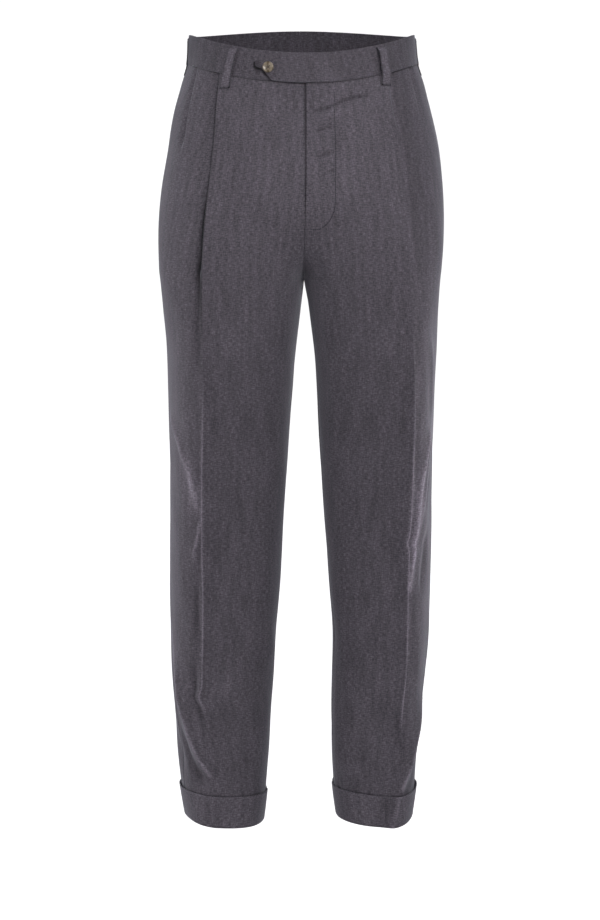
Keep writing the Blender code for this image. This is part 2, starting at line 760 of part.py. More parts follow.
def make_cuff(word, side):
    """A J-shaped wall turned up round the hem: the profile is swept round the leg."""
    inner = -(CLOTH + CUFF_CLEARANCE)
    near, far = CUFF_CLEARANCE, CUFF_CLEARANCE + CUFF_WALL
    profile = ((far, 0.0), (far, CUFF_HEIGHT / 2), (far, CUFF_HEIGHT), (near, CUFF_HEIGHT),
               (near, CUFF_HEIGHT / 2), (near, CUFF_WALL), (inner, CUFF_WALL), (inner, 0.0))
    mesh_data = bmesh.new()
    loops = []
    for step in range(CUFF_STEPS):
        u = 4.0 * step / CUFF_STEPS
        loop = []
        for offset, height in profile:
            z = cuff_lower_z(side, u) + height
            if offset > 0 and height > CUFF_WALL:
                offset += cuff_gape(side, u) * height / CUFF_HEIGHT
            loop.append(mesh_data.verts.new(surface_point(side, u, z, offset)))
        loops.append([mesh_data.edges.new((loop[i], loop[(i + 1) % len(loop)])) for i in range(len(loop))])
    for step in range(CUFF_STEPS):
        bmesh.ops.bridge_loops(mesh_data, edges=loops[step] + loops[(step + 1) % CUFF_STEPS])
    bmesh.ops.triangulate(mesh_data, faces=mesh_data.faces[:])
    add_object("cuff_" + word, mesh_data)


def loop_profile(reach_out, length):
    """Side view of a belt loop: seated at both ends, standing off the band between them."""
    foot, slope, wall = LOOP_FOOT, LOOP_SLOPE, LOOP_WALL
    corner = LOOP_WALL / 2
    outer = [(wall, 0), (wall, foot - corner), (reach_out + wall, foot + slope),
             (reach_out + wall, length - foot - slope), (wall, length - foot + corner), (wall, length)]
    inner = [(0, length), (0, length - foot), (reach_out, length - foot - slope - corner),
             (reach_out, foot + slope + corner), (0, foot), (0, 0)]
    return outer + inner


def make_belt_loop(name, side, foot_u, head_u, stand_off):
    """A strip of cloth across the waistband, extruded across its width."""
    middle_u = (foot_u + head_u) / 2
    low = band_lower_z(side, middle_u) - LOOP_FOOT_DROP
    outward = normal_at(side, middle_u, low + LOOP_LENGTH / 2)
    outward.z = 0
    outward.normalize()
    across = Vector((-outward.y, outward.x, 0))
    mesh_data = bmesh.new()
    rim = []
    for offset, height in loop_profile(stand_off, LOOP_LENGTH):
        on_band = height > LOOP_FOOT_DROP
        lift = offset + LOOP_SEAT + (BAND_LIFT if on_band else 0)
        u = foot_u + (head_u - foot_u) * height / LOOP_LENGTH
        centre = surface_point(side, u, low + height) + outward * lift
        rim.append(mesh_data.verts.new(centre - across * LOOP_WIDTH / 2))
    face = mesh_data.faces.new(rim)
    made = bmesh.ops.extrude_face_region(mesh_data, geom=[face])
    moved = [item for item in made["geom"] if isinstance(item, bmesh.types.BMVert)]
    bmesh.ops.translate(mesh_data, verts=moved, vec=across * LOOP_WIDTH)
    bmesh.ops.triangulate(mesh_data, faces=mesh_data.faces[:])
    add_object(name, mesh_data)


def make_belt_loops():
    for values in LOOPS:
        row = dict(zip(LOOP_COLUMNS, values))
        stand_off = row["stand_off"] * MM
        make_belt_loop("loop_" + row["name"], row["side"], row["foot_u"], row["head_u"], stand_off)


def make_button():
    """A four-hole button on the tab, its axis along the cloth's outward direction."""
    u = u_beyond(1, 0.0, BAND_SIDE_Z, -BUTTON_FROM_FLY)
    outward = normal_at(1, u, BUTTON_Z)
    centre = surface_point(1, u, BUTTON_Z, BAND_LIFT + TAB_STAND_OFF + SEAM_GAP)
    mesh_data = bmesh.new()
    points = []
    for values in BUTTON_SECTION:
        row = dict(zip(BUTTON_SECTION_COLUMNS, values))
        place = (row["radius"] * BUTTON_DIAMETER / 2, 0, row["height"] * BUTTON_THICKNESS)
        points.append(mesh_data.verts.new(place))
    edges = [mesh_data.edges.new((points[i], points[i + 1])) for i in range(len(points) - 1)]
    bmesh.ops.spin(mesh_data, geom=points + edges, cent=(0, 0, 0), axis=(0, 0, 1), dvec=(0, 0, 0),
                   angle=2 * math.pi, steps=BUTTON_STEPS, use_merge=True)
    bmesh.ops.remove_doubles(mesh_data, verts=mesh_data.verts[:], dist=1e-6)
    button = add_object("waist_button", mesh_data, HORN_COLOUR, 0.35)
    turn = outward.to_track_quat("Z", "X").to_matrix().to_4x4()
    button.matrix_world = Matrix.Translation(centre) @ turn
    for column in (-1, 1):
        for row in (-1, 1):
            drill_button(button, column, row)


def drill_button(button, column, row):
    cutter_data = bmesh.new()
    radius = BUTTON_HOLE_DIAMETER / 2
    bmesh.ops.create_cone(cutter_data, cap_ends=True, segments=BUTTON_HOLE_STEPS, radius1=radius,
                          radius2=radius, depth=4 * BUTTON_THICKNESS)
    mesh = bpy.data.meshes.new("button_hole_cutter")
    cutter_data.to_mesh(mesh)
    cutter_data.free()
    cutter = bpy.data.objects.new("button_hole_cutter", mesh)
    cutter.display_type = "WIRE"
    cutter.hide_render = True
    bpy.context.scene.collection.objects.link(cutter)
    half = BUTTON_HOLE_PITCH / 2
    cutter.matrix_world = button.matrix_world @ Matrix.Translation((column * half, row * half, 0))
    cut = button.modifiers.new("hole", "BOOLEAN")
    cut.operation = "DIFFERENCE"
    cut.object = cutter


def main():
    for item in list(bpy.data.objects):
        bpy.data.objects.remove(item)
    make_fronts_and_backs()
    make_pocket_facings()
    make_waistbands()
    for word, side in (("left", 1), ("right", -1)):
        make_cuff(word, side)
    make_belt_loops()
    make_button()


main()
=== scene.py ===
"""The looks of the pleated dress trousers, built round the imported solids.

Every cloth piece starts as a flat grid and is laid on one surface, surface_point(side, u, z).
u runs round one half of the garment:

    0 centre front or inseam, 1 front crease, 2 side, 3 back crease, 4 centre back or inseam

and z is the height. Side +1 is the wearer's left and -1 the wearer's right. Distances in the
tables are in millimetres. The folds are listed as soft ridges and troughs along (u, z) lines.
"""
import math

import bmesh
import bpy
import numpy as np
from mathutils import Matrix, Vector


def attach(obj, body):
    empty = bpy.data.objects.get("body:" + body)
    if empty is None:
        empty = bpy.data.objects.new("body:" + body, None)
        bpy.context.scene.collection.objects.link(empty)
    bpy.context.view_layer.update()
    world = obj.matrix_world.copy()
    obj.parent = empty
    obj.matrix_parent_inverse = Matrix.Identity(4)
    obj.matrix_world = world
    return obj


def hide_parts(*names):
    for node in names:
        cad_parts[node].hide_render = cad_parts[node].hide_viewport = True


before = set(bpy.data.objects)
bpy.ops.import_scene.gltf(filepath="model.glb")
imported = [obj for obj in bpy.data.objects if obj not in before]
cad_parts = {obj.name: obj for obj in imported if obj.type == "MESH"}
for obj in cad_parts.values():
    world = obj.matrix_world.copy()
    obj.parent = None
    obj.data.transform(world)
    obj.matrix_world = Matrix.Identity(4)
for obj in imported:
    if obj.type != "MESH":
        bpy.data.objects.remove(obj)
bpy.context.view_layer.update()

MM = 0.001

# Cloth: the panels' wall, the seams between pieces and about what one unit of u spans
CLOTH = 1.0 * MM
BAND_WALL = 2.4 * MM
SEAM_GAP = 0.3 * MM
PANEL_GAP = 0.04 * MM
U_SPAN = 100 * MM

# Heights and the shape of the section
FORK_Z = -312 * MM
CROTCH_CURVE_HEIGHT = 100 * MM
LEG_BLEND = 190 * MM
SEAM_REACH = 0.27
LEG_SQUARE = (0.10, 0.05, 0.05, 0.06)
MOST_SINE = 0.97
FORK_Y = -6 * MM
HEM_Z = -1036 * MM
PLEATS_END_Z = -330 * MM
LEG_SPREAD = 150 * MM
BACK_CREASE_SHIFT = 18 * MM
BACK_CREASE_ANGLE = math.radians(135)
CREASE_WIDTH_U = 0.1
CREASE_EDGE = 1.3 * MM
CREASE_EDGE_U = 0.022
CREASE_EDGE_TOP = -300 * MM
CREASE_EDGE_RISE = 200 * MM
CREASE_ENDS = {1: -925 * MM, -1: -895 * MM}
CREASE_END_FADE = 40 * MM

# Waistband and its tab
BAND_HEIGHT = 39.5 * MM
BAND_SIDE_Z = -20 * MM
BAND_FRONT_DROP = 34 * MM
BAND_BACK_RISE = 16 * MM
BAND_LIFT = 0.8 * MM
BAND_CROWN = 0.5 * MM
# Painted shade: the whole waistband is darkened a little
BAND_PAINTED_SHADE = -0.12
TAB_LENGTH = 67 * MM
TAB_STAND_OFF = 3.6 * MM
TAB_TIP_X = -62 * MM
TAB_END_U = 0.9
TAB_OUTLINE = ((0, 5.5), (0.8, 8), (2.2, 10), (5, 11), (8.5, 11.8), (10, 14), (21.5, 38.6), (24, 39.5))

# Fly
FLY_UNDERLAP = 10 * MM
FLY_END_Z = -200 * MM
FLY_TAPER = 40 * MM
FLY_LIFT = 1.5 * MM
FLY_BLEND = 45 * MM
FLY_STITCH = 1.9 * MM
FLY_STITCH_PITCH = 2.6 * MM
FLY_STITCH_LINE = ((0.34, -66), (0.33, -76), (0.32, -114), (0.315, -160), (0.31, -214), (0.295, -226),
                   (0.26, -237), (0.21, -245), (0.15, -249), (0.06, -248))

# Side pockets
POCKET_MOUTH_TOP = 32 * MM
POCKET_MOUTH_END_Z = -200 * MM
FACING_DEPTH = 2.3 * MM
FACING_UNDERLAP = 10 * MM
FACING_LEAST = 5 * MM
FACING_RISE_START = 4 * MM
FACING_RISE = 18 * MM
FACING_PAST_MOUTH = 4 * MM

# Turn-ups
CUFF_HEIGHT = 42 * MM
CUFF_WALL = 1.5 * MM
CUFF_CLOTH = 1.3 * MM
CUFF_FRONT_DROP = {1: 10 * MM, -1: 5.5 * MM}
CUFF_INNER_DROP = {1: 0.0, -1: 9 * MM}
CUFF_BREAK = 1.0
CUFF_BREAK_LEAN = 0.03
CUFF_NARROWING = 2.2 * MM
# How far the top stands open, and at which u
CUFF_GAPE = {1: (1.4, 1.6), -1: (1.0, 3.4)}
# Section of the sheet: distance from the leg and height above the hem
CUFF_PROFILE = ((-1.9, 5.0), (-1.9, 2.2), (-1.5, 0.8), (-0.6, 0.1), (0.6, 0.0), (1.7, 0.6), (2.3, 1.8),
                (2.4, 4), (2.5, 9), (2.6, 14), (2.6, 20), (2.6, 27), (2.5, 34), (2.4, 38.5), (2.4, 40.8),
                (2.3, 42))

# Belt loops
LOOP_WIDTH = 14.5 * MM
LOOP_LENGTH = 50 * MM
LOOP_FOOT_DROP = 15 * MM
LOOP_CLOTH = 1.7 * MM
TACK_STITCHES = 9
TACK_PLACES = (0.14, 0.93)
TACK_HALF_LENGTH = 0.8 * MM
# Name, side, u of the foot and of the head, stand-off, extra length and lift of the foot
LOOP_PLACES = (
    ("front_left", 1, 0.98, 0.96, 5.0, 1.2, 1.8),
    ("front_right", -1, 0.925, 0.835, 3.0, 3.5, 1.8),
    ("side_left", 1, 2.0, 2.0, 0.3, 0.0, 1.2),
    ("side_right", -1, 2.0, 2.0, 0.3, 0.0, 1.2),
    ("back", 1, 4.0, 4.0, 2.6, 0.0, 1.8),
)

# Waist button
BUTTON_DIAMETER = 15 * MM
BUTTON_THICKNESS = 3.2 * MM
DISH_LEVEL = 0.62 * BUTTON_THICKNESS
BUTTON_HOLE_DIAMETER = 1.8 * MM
BUTTON_HOLE_PITCH = 3.4 * MM
BUTTON_FROM_FLY = 49.5 * MM
BUTTON_Z = -34 * MM
# Half section, as shares of the radius and the thickness: underside, rim, dish
BUTTON_SECTION = ((0, 0.1), (0.6, 0.02), (0.78, 0.02), (0.9, 0.12), (0.98, 0.35), (1.0, 0.55), (0.985, 0.78),
                  (0.94, 0.94), (0.88, 1.0), (0.80, 0.98), (0.73, 0.86), (0.66, 0.74), (0.5, 0.66),
                  (0.25, 0.62), (0, 0.61))

# Threads
THREAD_RADIUS = 0.2 * MM
FLY_THREAD_RADIUS = 0.6 * MM
STRAND_PITCH = 0.32 * MM
STRAND_ARCH = 0.55 * MM
STRAND_PLUNGE = 0.9 * MM

# Stage and camera
FLOOR_Z = -1.165
SENSOR = 36
PIXELS_PER_SLOPE = 3088
PICTURE_HEIGHT = 920

# How finely the pieces are divided
TORSO_ROWS = 80
CROTCH_ROWS = 40
LEG_ROWS = 190
CUFF_TOP_ROWS = 2.9373 + 0.0016 * np.arange(10)
PANEL_ROWS = np.sort(np.concatenate([
    np.arange(TORSO_ROWS) / TORSO_ROWS, 1 + np.arange(CROTCH_ROWS) / CROTCH_ROWS,
    2 + np.arange(LEG_ROWS + 1) / LEG_ROWS, CUFF_TOP_ROWS]))
FRONT_STEPS = 60
BETWEEN_PLEATS_STEPS = 12
POCKET_STEPS = 26
BACK_STEPS = (44, 44)
FACING_STEPS = 18
FACING_ROWS = 45
BAND_STEPS = 150
TAB_STEPS = 88
BAND_ROWS = 30
CUFF_STEPS = 176
LOOP_ROWS = 46
LOOP_COLUMNS_ACROSS = 16

# Tone: painted shade and highlight, as shares by which the cloth's own colour is darkened
# or lightened where shadow or light falls on it, and how far they reach
DARKEST_TONE = 0.12
# Painted highlight along the crease, from the thigh down
CREASE_HIGHLIGHT_TONE = 1.1
CREASE_HIGHLIGHT_WIDTH = 0.9 * MM
CREASE_HIGHLIGHT_TOP_Z = -420 * MM
CREASE_HIGHLIGHT_FADE = 120 * MM
TOP_TONE = 0.5
CUFF_TOP_TONE = 0.55
EDGE_SHADOW = 1.5 * MM
SEAM_ROLL = 1.6 * MM
SEAM_TONE = 1.2
SEAM_SHADOW = 1.0 * MM
FLY_TONE = 0.75
FLY_SHADOW = 2.2 * MM
FLY_SHADOW_Z = -150 * MM
FLY_SHADOW_FADE = 80 * MM

OUTLINE_COLUMNS = ("z", "out_right", "in_right", "crease_right", "out_left", "in_left", "crease_left")
OUTLINE = (
    (40, 151, -4, 104, 153, 4, 108),
    (20, 152, -4, 104, 154, 4, 108),
    (-20, 154, -4, 106, 158, 4, 111),
    (-46, 162, -4, 108, 167, 4, 114),
    (-87, 173, -4, 112, 177, 4, 119),
    (-136, 180, -4, 115, 187, 4, 129),
    (-190, 188, -4, 121, 192, 4, 134),
    (-245, 191, -4, 127, 192, 4, 140),
    (-299, 191, -4, 130, 189, 4, 144),
    (-312, 190, -4, 130, 188, 4, 144),
    (-354, 187, 1, 130, 186, 11, 147),
    (-408, 182, 7, 130, 183.5, 18, 149),
    (-462, 180, 12, 130, 180.5, 22, 151),
    (-517, 178.5, 16, 131, 179, 24, 151),
    (-571, 178, 19, 132, 178, 27, 149),
    (-626, 178, 23, 132, 177.5, 31, 147),
    (-680, 178, 26, 132, 176.5, 35, 144),
    (-734, 178, 29, 131, 175, 39, 143),
    (-789, 177, 34, 131, 173.5, 43, 142),
    (-843, 175, 37, 132, 168.5, 42, 140),
    (-898, 171, 41, 130, 163, 41, 135),
    (-952, 168, 44, 124, 158, 42, 134),
    (-1006, 161, 48, 117, 153, 45, 131),
    (-1050, 156, 51, 114, 151, 48, 124),
)

DEPTH_COLUMNS = ("z", "front", "back", "side_y", "front_square", "back_square", "crease_ridge")
DEPTH = (
    (40, 112, 106, 0, 0.05, 0.05, 0),
    (-20, 115, 111, 0, 0.05, 0.05, 0),
    (-87, 121, 124, 0, 0.08, 0.06, 0),
    (-136, 123, 134, 0, 0.10, 0.07, 0.5),
    (-190, 123, 140, 0, 0.13, 0.09, 1.0),
    (-245, 122, 141, 0, 0.17, 0.12, 1.5),
    (-312, 119, 134, 0, 0.22, 0.16, 2.0),
    (-354, 117, 125, 1, 0.24, 0.18, 2.2),
    (-408, 114, 116, 2, 0.24, 0.18, 2.2),
    (-462, 109, 109, 2, 0.24, 0.18, 2.5),
    (-571, 98, 98, 2, 0.24, 0.18, 2.5),
    (-680, 90, 91, 3, 0.24, 0.18, 2.5),
    (-789, 84, 91, 5, 0.24, 0.18, 2.5),
    (-898, 80, 90, 6, 0.24, 0.18, 2.0),
    (-1006, 79, 86, 4, 0.24, 0.18, 1.5),
    (-1050, 79, 85, 4, 0.24, 0.18, 1.5),
)

SEAM_COLUMNS = ("z", "front_x", "back_x", "side_u_right", "inseam_u_right", "side_u_left", "inseam_u_left")
SEAMS = (
    (40, 7, -2, 2.04, 0, 2.04, 0),
    (-200, 7, -1, 2.04, 0, 2.04, 0),
    (-312, 4, 4, 2.04, 0, 2.04, 0),
    (-450, 4, 4, 2.02, 0.02, 2.05, 0.06),
    (-700, 4, 4, 1.90, 0.02, 2.10, 0.18),
    (-900, 4, 4, 1.68, 0, 2.10, 0.20),
    (-1050, 4, 4, 1.62, 0, 2.10, 0.22),
)

# Reverse pleats: where the fold edge lies beyond the crease at the waist and at the end, the
# depth tucked under, how far the under layer takes to rise, and when the fold lets go; the
# shade columns are painted shade in the fold and beside it, and how fast that fades
PLEAT_COLUMNS = ("side", "offset_top", "offset_end", "end_z", "depth_top", "rise", "opening", "pitch",
                 "shade", "outer_shade", "shade_power")
PLEATS = (
    (-1, 0, 0, -330, 23, 30, 0.22, 1.8, 0.8, 0.3, 4),
    (-1, 42, 50, -150, 13, 12, 0.5, 1.3, 0.35, 0.1, 3),
    (1, 0, 0, -330, 3, 33, 3.0, 1.1, 0.3, 0.3, 0.7),
    (1, 42, 50, -150, 3, 12, 3.0, 1.1, 0.0, 0.0, 1),
)
PLEAT_TOP_Z = BAND_SIDE_Z - 20 * MM
PLEAT_LEAST_DEPTH = 1.0 * MM
PLEAT_DEPTH_POWER = 1.4
PLEAT_STEP = 1.0 * MM
PLEAT_OVERHANG = 1.5 * MM
PLEAT_SHADE_SPAN = 0.3
PLEAT_TURN_STEPS = 5
PLEAT_TUCK_STEPS = 3
PLEAT_RISE_STEPS = 8

# Places where a pressed crease strays sideways: side, z, shift, half height
CREASE_STRAYS = (
    (-1, -871, 5.0, 10),
    (-1, -906, -3.0, 11),
    (1, -664, -3.0, 9),
)

# Each part of a fold's line is read in this many spans, and its width turns over within this u
FOLD_SPANS = 4
FOLD_TURN_U = 0.04
# Folds: height (a trough where it is negative), half widths towards lower and higher u, how
# pointed the crest is (1 sharp, 2 soft), parts of the length that fade in and out, and line
FOLD_COLUMNS = ("side", "height", "low_width", "high_width", "power", "fade_in", "fade_out", "line")
# Lines that a fold and its painted shade or highlight have in common
FLY_DRAG_TOP = ((0.06, -93), (0.16, -91), (0.31, -85), (0.42, -79), (0.57, -73), (0.71, -71), (0.86, -67))
FLY_DRAG_LIT = ((0.06, -104), (0.34, -96), (0.58, -88), (0.83, -78))
FLY_DRAG_MIDDLE = ((0.08, -119), (0.17, -117), (0.26, -113), (0.31, -109))
FLY_DRAG_LOW = ((0.08, -151), (0.17, -151), (0.27, -147), (0.31, -141))
KNEE_RIGHT = ((1.75, -490), (1.6, -507), (1.44, -529), (1.34, -550), (1.24, -566), (1.16, -590),
              (1.09, -612), (1.03, -636))
KNEE_RIGHT_BEND = ((1, -628), (1.07, -658), (1.14, -676), (1.16, -700))
SHIN_RIGHT = ((1.68, -800), (1.55, -840), (1.47, -858), (1.38, -898), (1.29, -924), (1.17, -954),
              (1.05, -970), (0.96, -982))
KNEE_LEFT = ((1.6, -505), (1.46, -525), (1.35, -554), (1.25, -576), (1.19, -602), (1.16, -632),
             (1.13, -674), (1.07, -696), (1.02, -724), (1, -736))
KNEE_LEFT_SECOND = ((1.62, -520), (1.5, -545), (1.34, -585), (1.27, -620), (1.22, -650))
SHIN_LEFT = ((1.75, -850), (1.6, -890), (1.45, -925), (1.36, -948), (1.26, -970), (1.13, -986),
             (1.04, -1000))
LARGE_FOLDS = (
    (-1, 3, 17, 17, 2, 0.5, 0.5, ((1.55, -500), (1.1, -720))),
    (-1, -2, 24, 24, 2, 0.5, 0.5, ((0.55, -540), (0.8, -800))),
    (-1, 4.5, 13, 13, 2, 0.5, 0.5, ((1.62, -800), (1.1, -985))),
    (-1, -5, 16, 16, 2, 0.5, 0.5, ((1.85, -900), (1.45, -1000))),
    (-1, 3, 20, 20, 2, 0.5, 0.5, ((0.35, -800), (0.85, -930))),
    (-1, -3.5, 22, 22, 2, 0.5, 0.5, ((3, -560), (2.6, -680))),
    (-1, 3, 24, 24, 2, 0.5, 0.5, ((3.2, -300), (2.7, -420))),
    (1, 3, 15, 15, 2, 0.5, 0.5, ((1.45, -520), (1.12, -720))),
    (1, 3, 18, 18, 2, 0.5, 0.5, ((1.6, -860), (1.15, -1000))),
    (1, -2.5, 14, 14, 2, 0.5, 0.5, ((1.9, -930), (1.6, -1000))),
    (1, -2.5, 22, 22, 2, 0.5, 0.5, ((0.6, -820), (0.9, -960))),
    (1, -3.5, 22, 22, 2, 0.5, 0.5, ((2.9, -580), (2.5, -700))),
    (1, 3, 24, 24, 2, 0.5, 0.5, ((3.1, -310), (2.8, -430))),
)
FRONT_FOLDS = (
    (-1, -3, 3.5, 6, 2, 0.3, 0.5, ((1.03, -257), (1.03, -303), (1.06, -367), (1.06, -474))),
    (-1, 3.6, 9, 4, 1.4, 0.15, 0.3, KNEE_RIGHT),
    (-1, 2.4, 3.5, 3, 1.4, 0.2, 0.4, KNEE_RIGHT_BEND),
    (-1, -1.8, 3.5, 4, 2, 0.3, 0.4, ((1.03, -659), (1.06, -686), (1.08, -728), (1.09, -795))),
    (-1, 1.5, 6, 6, 2, 0.4, 0.4, ((1.25, -540), (1.16, -566), (1.09, -592), (1.04, -616))),
    (-1, 5, 15, 4.5, 1.35, 0.25, 0.12, SHIN_RIGHT),
    (-1, -5, 8, 10, 2, 0.35, 0.2, ((1.69, -900), (1.5, -928), (1.35, -956), (1.22, -978), (1.11, -994))),
    (-1, -3.4, 4.5, 6, 1.8, 0.4, 0.25, ((1.1, -795), (1.12, -828), (1.13, -856), (1.08, -879),
        (1.01, -905))),
    (-1, 1.8, 7, 3, 1.6, 0.3, 0.3, ((0.99, -832), (1.03, -861), (1.06, -871), (0.99, -885), (0.96, -905))),
    (-1, -1.2, 4, 5, 2, 0.3, 0.3, ((0.98, -901), (1, -934), (1.07, -976))),
    (-1, 2.6, 15, 15, 2, 0.3, 0.3, ((0.03, -795), (0.5, -826), (0.68, -861), (0.79, -907))),
    (-1, -2.4, 14, 14, 2, 0.3, 0.3, ((0.3, -879), (0.56, -922), (0.76, -960))),
    (-1, 1.6, 5, 4, 1.6, 0.3, 0.3, ((0.99, -981), (0.92, -995), (0.86, -1003))),
    (-1, -2, 14, 14, 2, 0.3, 0.4, ((0.11, -291), (0.4, -342), (0.54, -401))),
    (-1, 1.6, 14, 14, 2, 0.3, 0.3, ((0.81, -90), (0.82, -169), (0.8, -261), (0.83, -367))),
    (-1, -1.6, 16, 16, 2, 0.3, 0.3, ((0.79, -513), (0.72, -594), (0.68, -688))),
    (-1, 1.4, 16, 16, 2, 0.3, 0.3, ((0.55, -568), (0.5, -663), (0.5, -741))),
    (1, -3, 3.2, 3.2, 1.6, 0.2, 0.3, FLY_DRAG_TOP),
    (1, 1.5, 6, 6, 2, 0.2, 0.3, FLY_DRAG_LIT),
    (1, -2.4, 3.8, 3.8, 1.8, 0.2, 0.4, FLY_DRAG_MIDDLE),
    (1, -2.2, 3.8, 3.8, 1.8, 0.2, 0.4, FLY_DRAG_LOW),
    (1, -1.6, 9, 11, 2, 0.3, 0.3, ((0.13, -204), (0.16, -236), (0.26, -275))),
    (1, 4, 7, 3.5, 1.3, 0.15, 0.15, KNEE_LEFT),
    (1, 2, 3.5, 3, 1.5, 0.2, 0.3, KNEE_LEFT_SECOND),
    (1, -1.6, 3, 3, 1.8, 0.3, 0.3, ((1.54, -568), (1.43, -598), (1.34, -627))),
    (1, -2.6, 7, 8, 2, 0.3, 0.3, ((1.51, -635), (1.41, -688), (1.32, -747))),
    (1, -1.6, 3, 3.5, 1.8, 0.3, 0.3, ((1.08, -633), (1.04, -663), (1.09, -686))),
    (1, 2.2, 8, 7, 2, 0.3, 0.3, ((1.46, -381), (1.53, -448), (1.57, -515))),
    (1, 4.4, 11, 3.5, 1.3, 0.25, 0.1, SHIN_LEFT),
    (1, -2, 6, 8, 2, 0.3, 0.15, ((1.7, -950), (1.5, -975), (1.3, -996))),
    (1, -2.6, 8, 5, 1.8, 0.35, 0.3, ((0.99, -861), (0.96, -895), (0.94, -920), (0.96, -950))),
    (1, 1.4, 4, 4, 1.8, 0.3, 0.3, ((0.99, -944), (1.1, -958), (1.37, -962))),
    (1, -1.4, 8, 10, 2, 0.3, 0.3, ((0.38, -932), (0.48, -958), (0.61, -962))),
    (1, 1.6, 9, 9, 2, 0.3, 0.3, ((0.38, -974), (0.52, -974), (0.66, -974))),
    (1, -1.4, 2.4, 2.4, 1.6, 0.2, 0.1, ((0.63, -978), (0.61, -987), (0.6, -1001))),
    (1, -1.4, 2.4, 3, 1.6, 0.2, 0.1, ((0.32, -987), (0.36, -995), (0.39, -1003))),
    (1, 1.8, 18, 18, 2, 0.3, 0.3, ((0.74, -741), (0.69, -822), (0.68, -903))),
    (1, -1.6, 18, 18, 2, 0.3, 0.3, ((0.55, -688), (0.5, -783), (0.54, -875))),
    (1, 1.6, 16, 16, 2, 0.3, 0.3, ((0.72, -116), (0.79, -210), (0.83, -303), (0.84, -395))),
    (1, -2, 15, 15, 2, 0.3, 0.3, ((0.27, -291), (0.48, -354), (0.52, -421))),
)
# The back, which hangs from the seat, breaks behind the knee and rests on the heel
BACK_FOLDS = (
    (-1, 2.4, 9, 12, 1.7, 0.3, 0.4, ((3.95, -268), (3.6, -300), (3.2, -342), (2.8, -372))),
    (-1, -2.2, 8, 8, 2, 0.3, 0.4, ((3.95, -292), (3.62, -326), (3.3, -372), (3, -415))),
    (-1, 1.6, 8, 10, 1.8, 0.3, 0.4, ((3.9, -318), (3.6, -352), (3.4, -402))),
    (-1, -1.5, 12, 12, 2, 0.3, 0.3, ((2.3, -150), (2.6, -215), (3, -262))),
    (-1, 2.2, 8, 10, 1.6, 0.2, 0.4, ((3.55, -560), (3.2, -590), (2.8, -640), (2.5, -660))),
    (-1, -2, 7, 8, 2, 0.3, 0.4, ((3.5, -590), (3.15, -622), (2.75, -668))),
    (-1, 1.6, 7, 9, 1.7, 0.3, 0.4, ((2.35, -600), (2.7, -640), (3.05, -702))),
    (-1, 1.8, 9, 12, 1.7, 0.3, 0.3, ((3.6, -880), (3.2, -925), (2.7, -965))),
    (-1, -1.8, 8, 9, 2, 0.3, 0.3, ((3.5, -915), (3.1, -955), (2.6, -992))),
    (1, 2.2, 9, 12, 1.7, 0.3, 0.4, ((3.95, -262), (3.62, -296), (3.25, -335), (2.85, -380))),
    (1, -2.3, 8, 8, 2, 0.3, 0.4, ((3.95, -286), (3.6, -324), (3.25, -366), (3, -402))),
    (1, 1.5, 8, 10, 1.8, 0.3, 0.4, ((3.9, -322), (3.55, -362), (3.35, -410))),
    (1, -1.4, 12, 12, 2, 0.3, 0.3, ((2.35, -140), (2.65, -205), (3, -250))),
    (1, 2.3, 8, 10, 1.6, 0.2, 0.4, ((3.5, -572), (3.15, -604), (2.75, -646), (2.45, -668))),
    (1, -2, 7, 8, 2, 0.3, 0.4, ((3.45, -602), (3.1, -634), (2.7, -684))),
    (1, 1.5, 7, 9, 1.7, 0.3, 0.4, ((2.3, -616), (2.65, -652), (3, -722))),
    (1, 1.9, 9, 12, 1.7, 0.3, 0.3, ((3.55, -892), (3.15, -934), (2.65, -972))),
    (1, -1.7, 8, 9, 2, 0.3, 0.3, ((3.45, -925), (3.05, -962), (2.55, -996))),
)
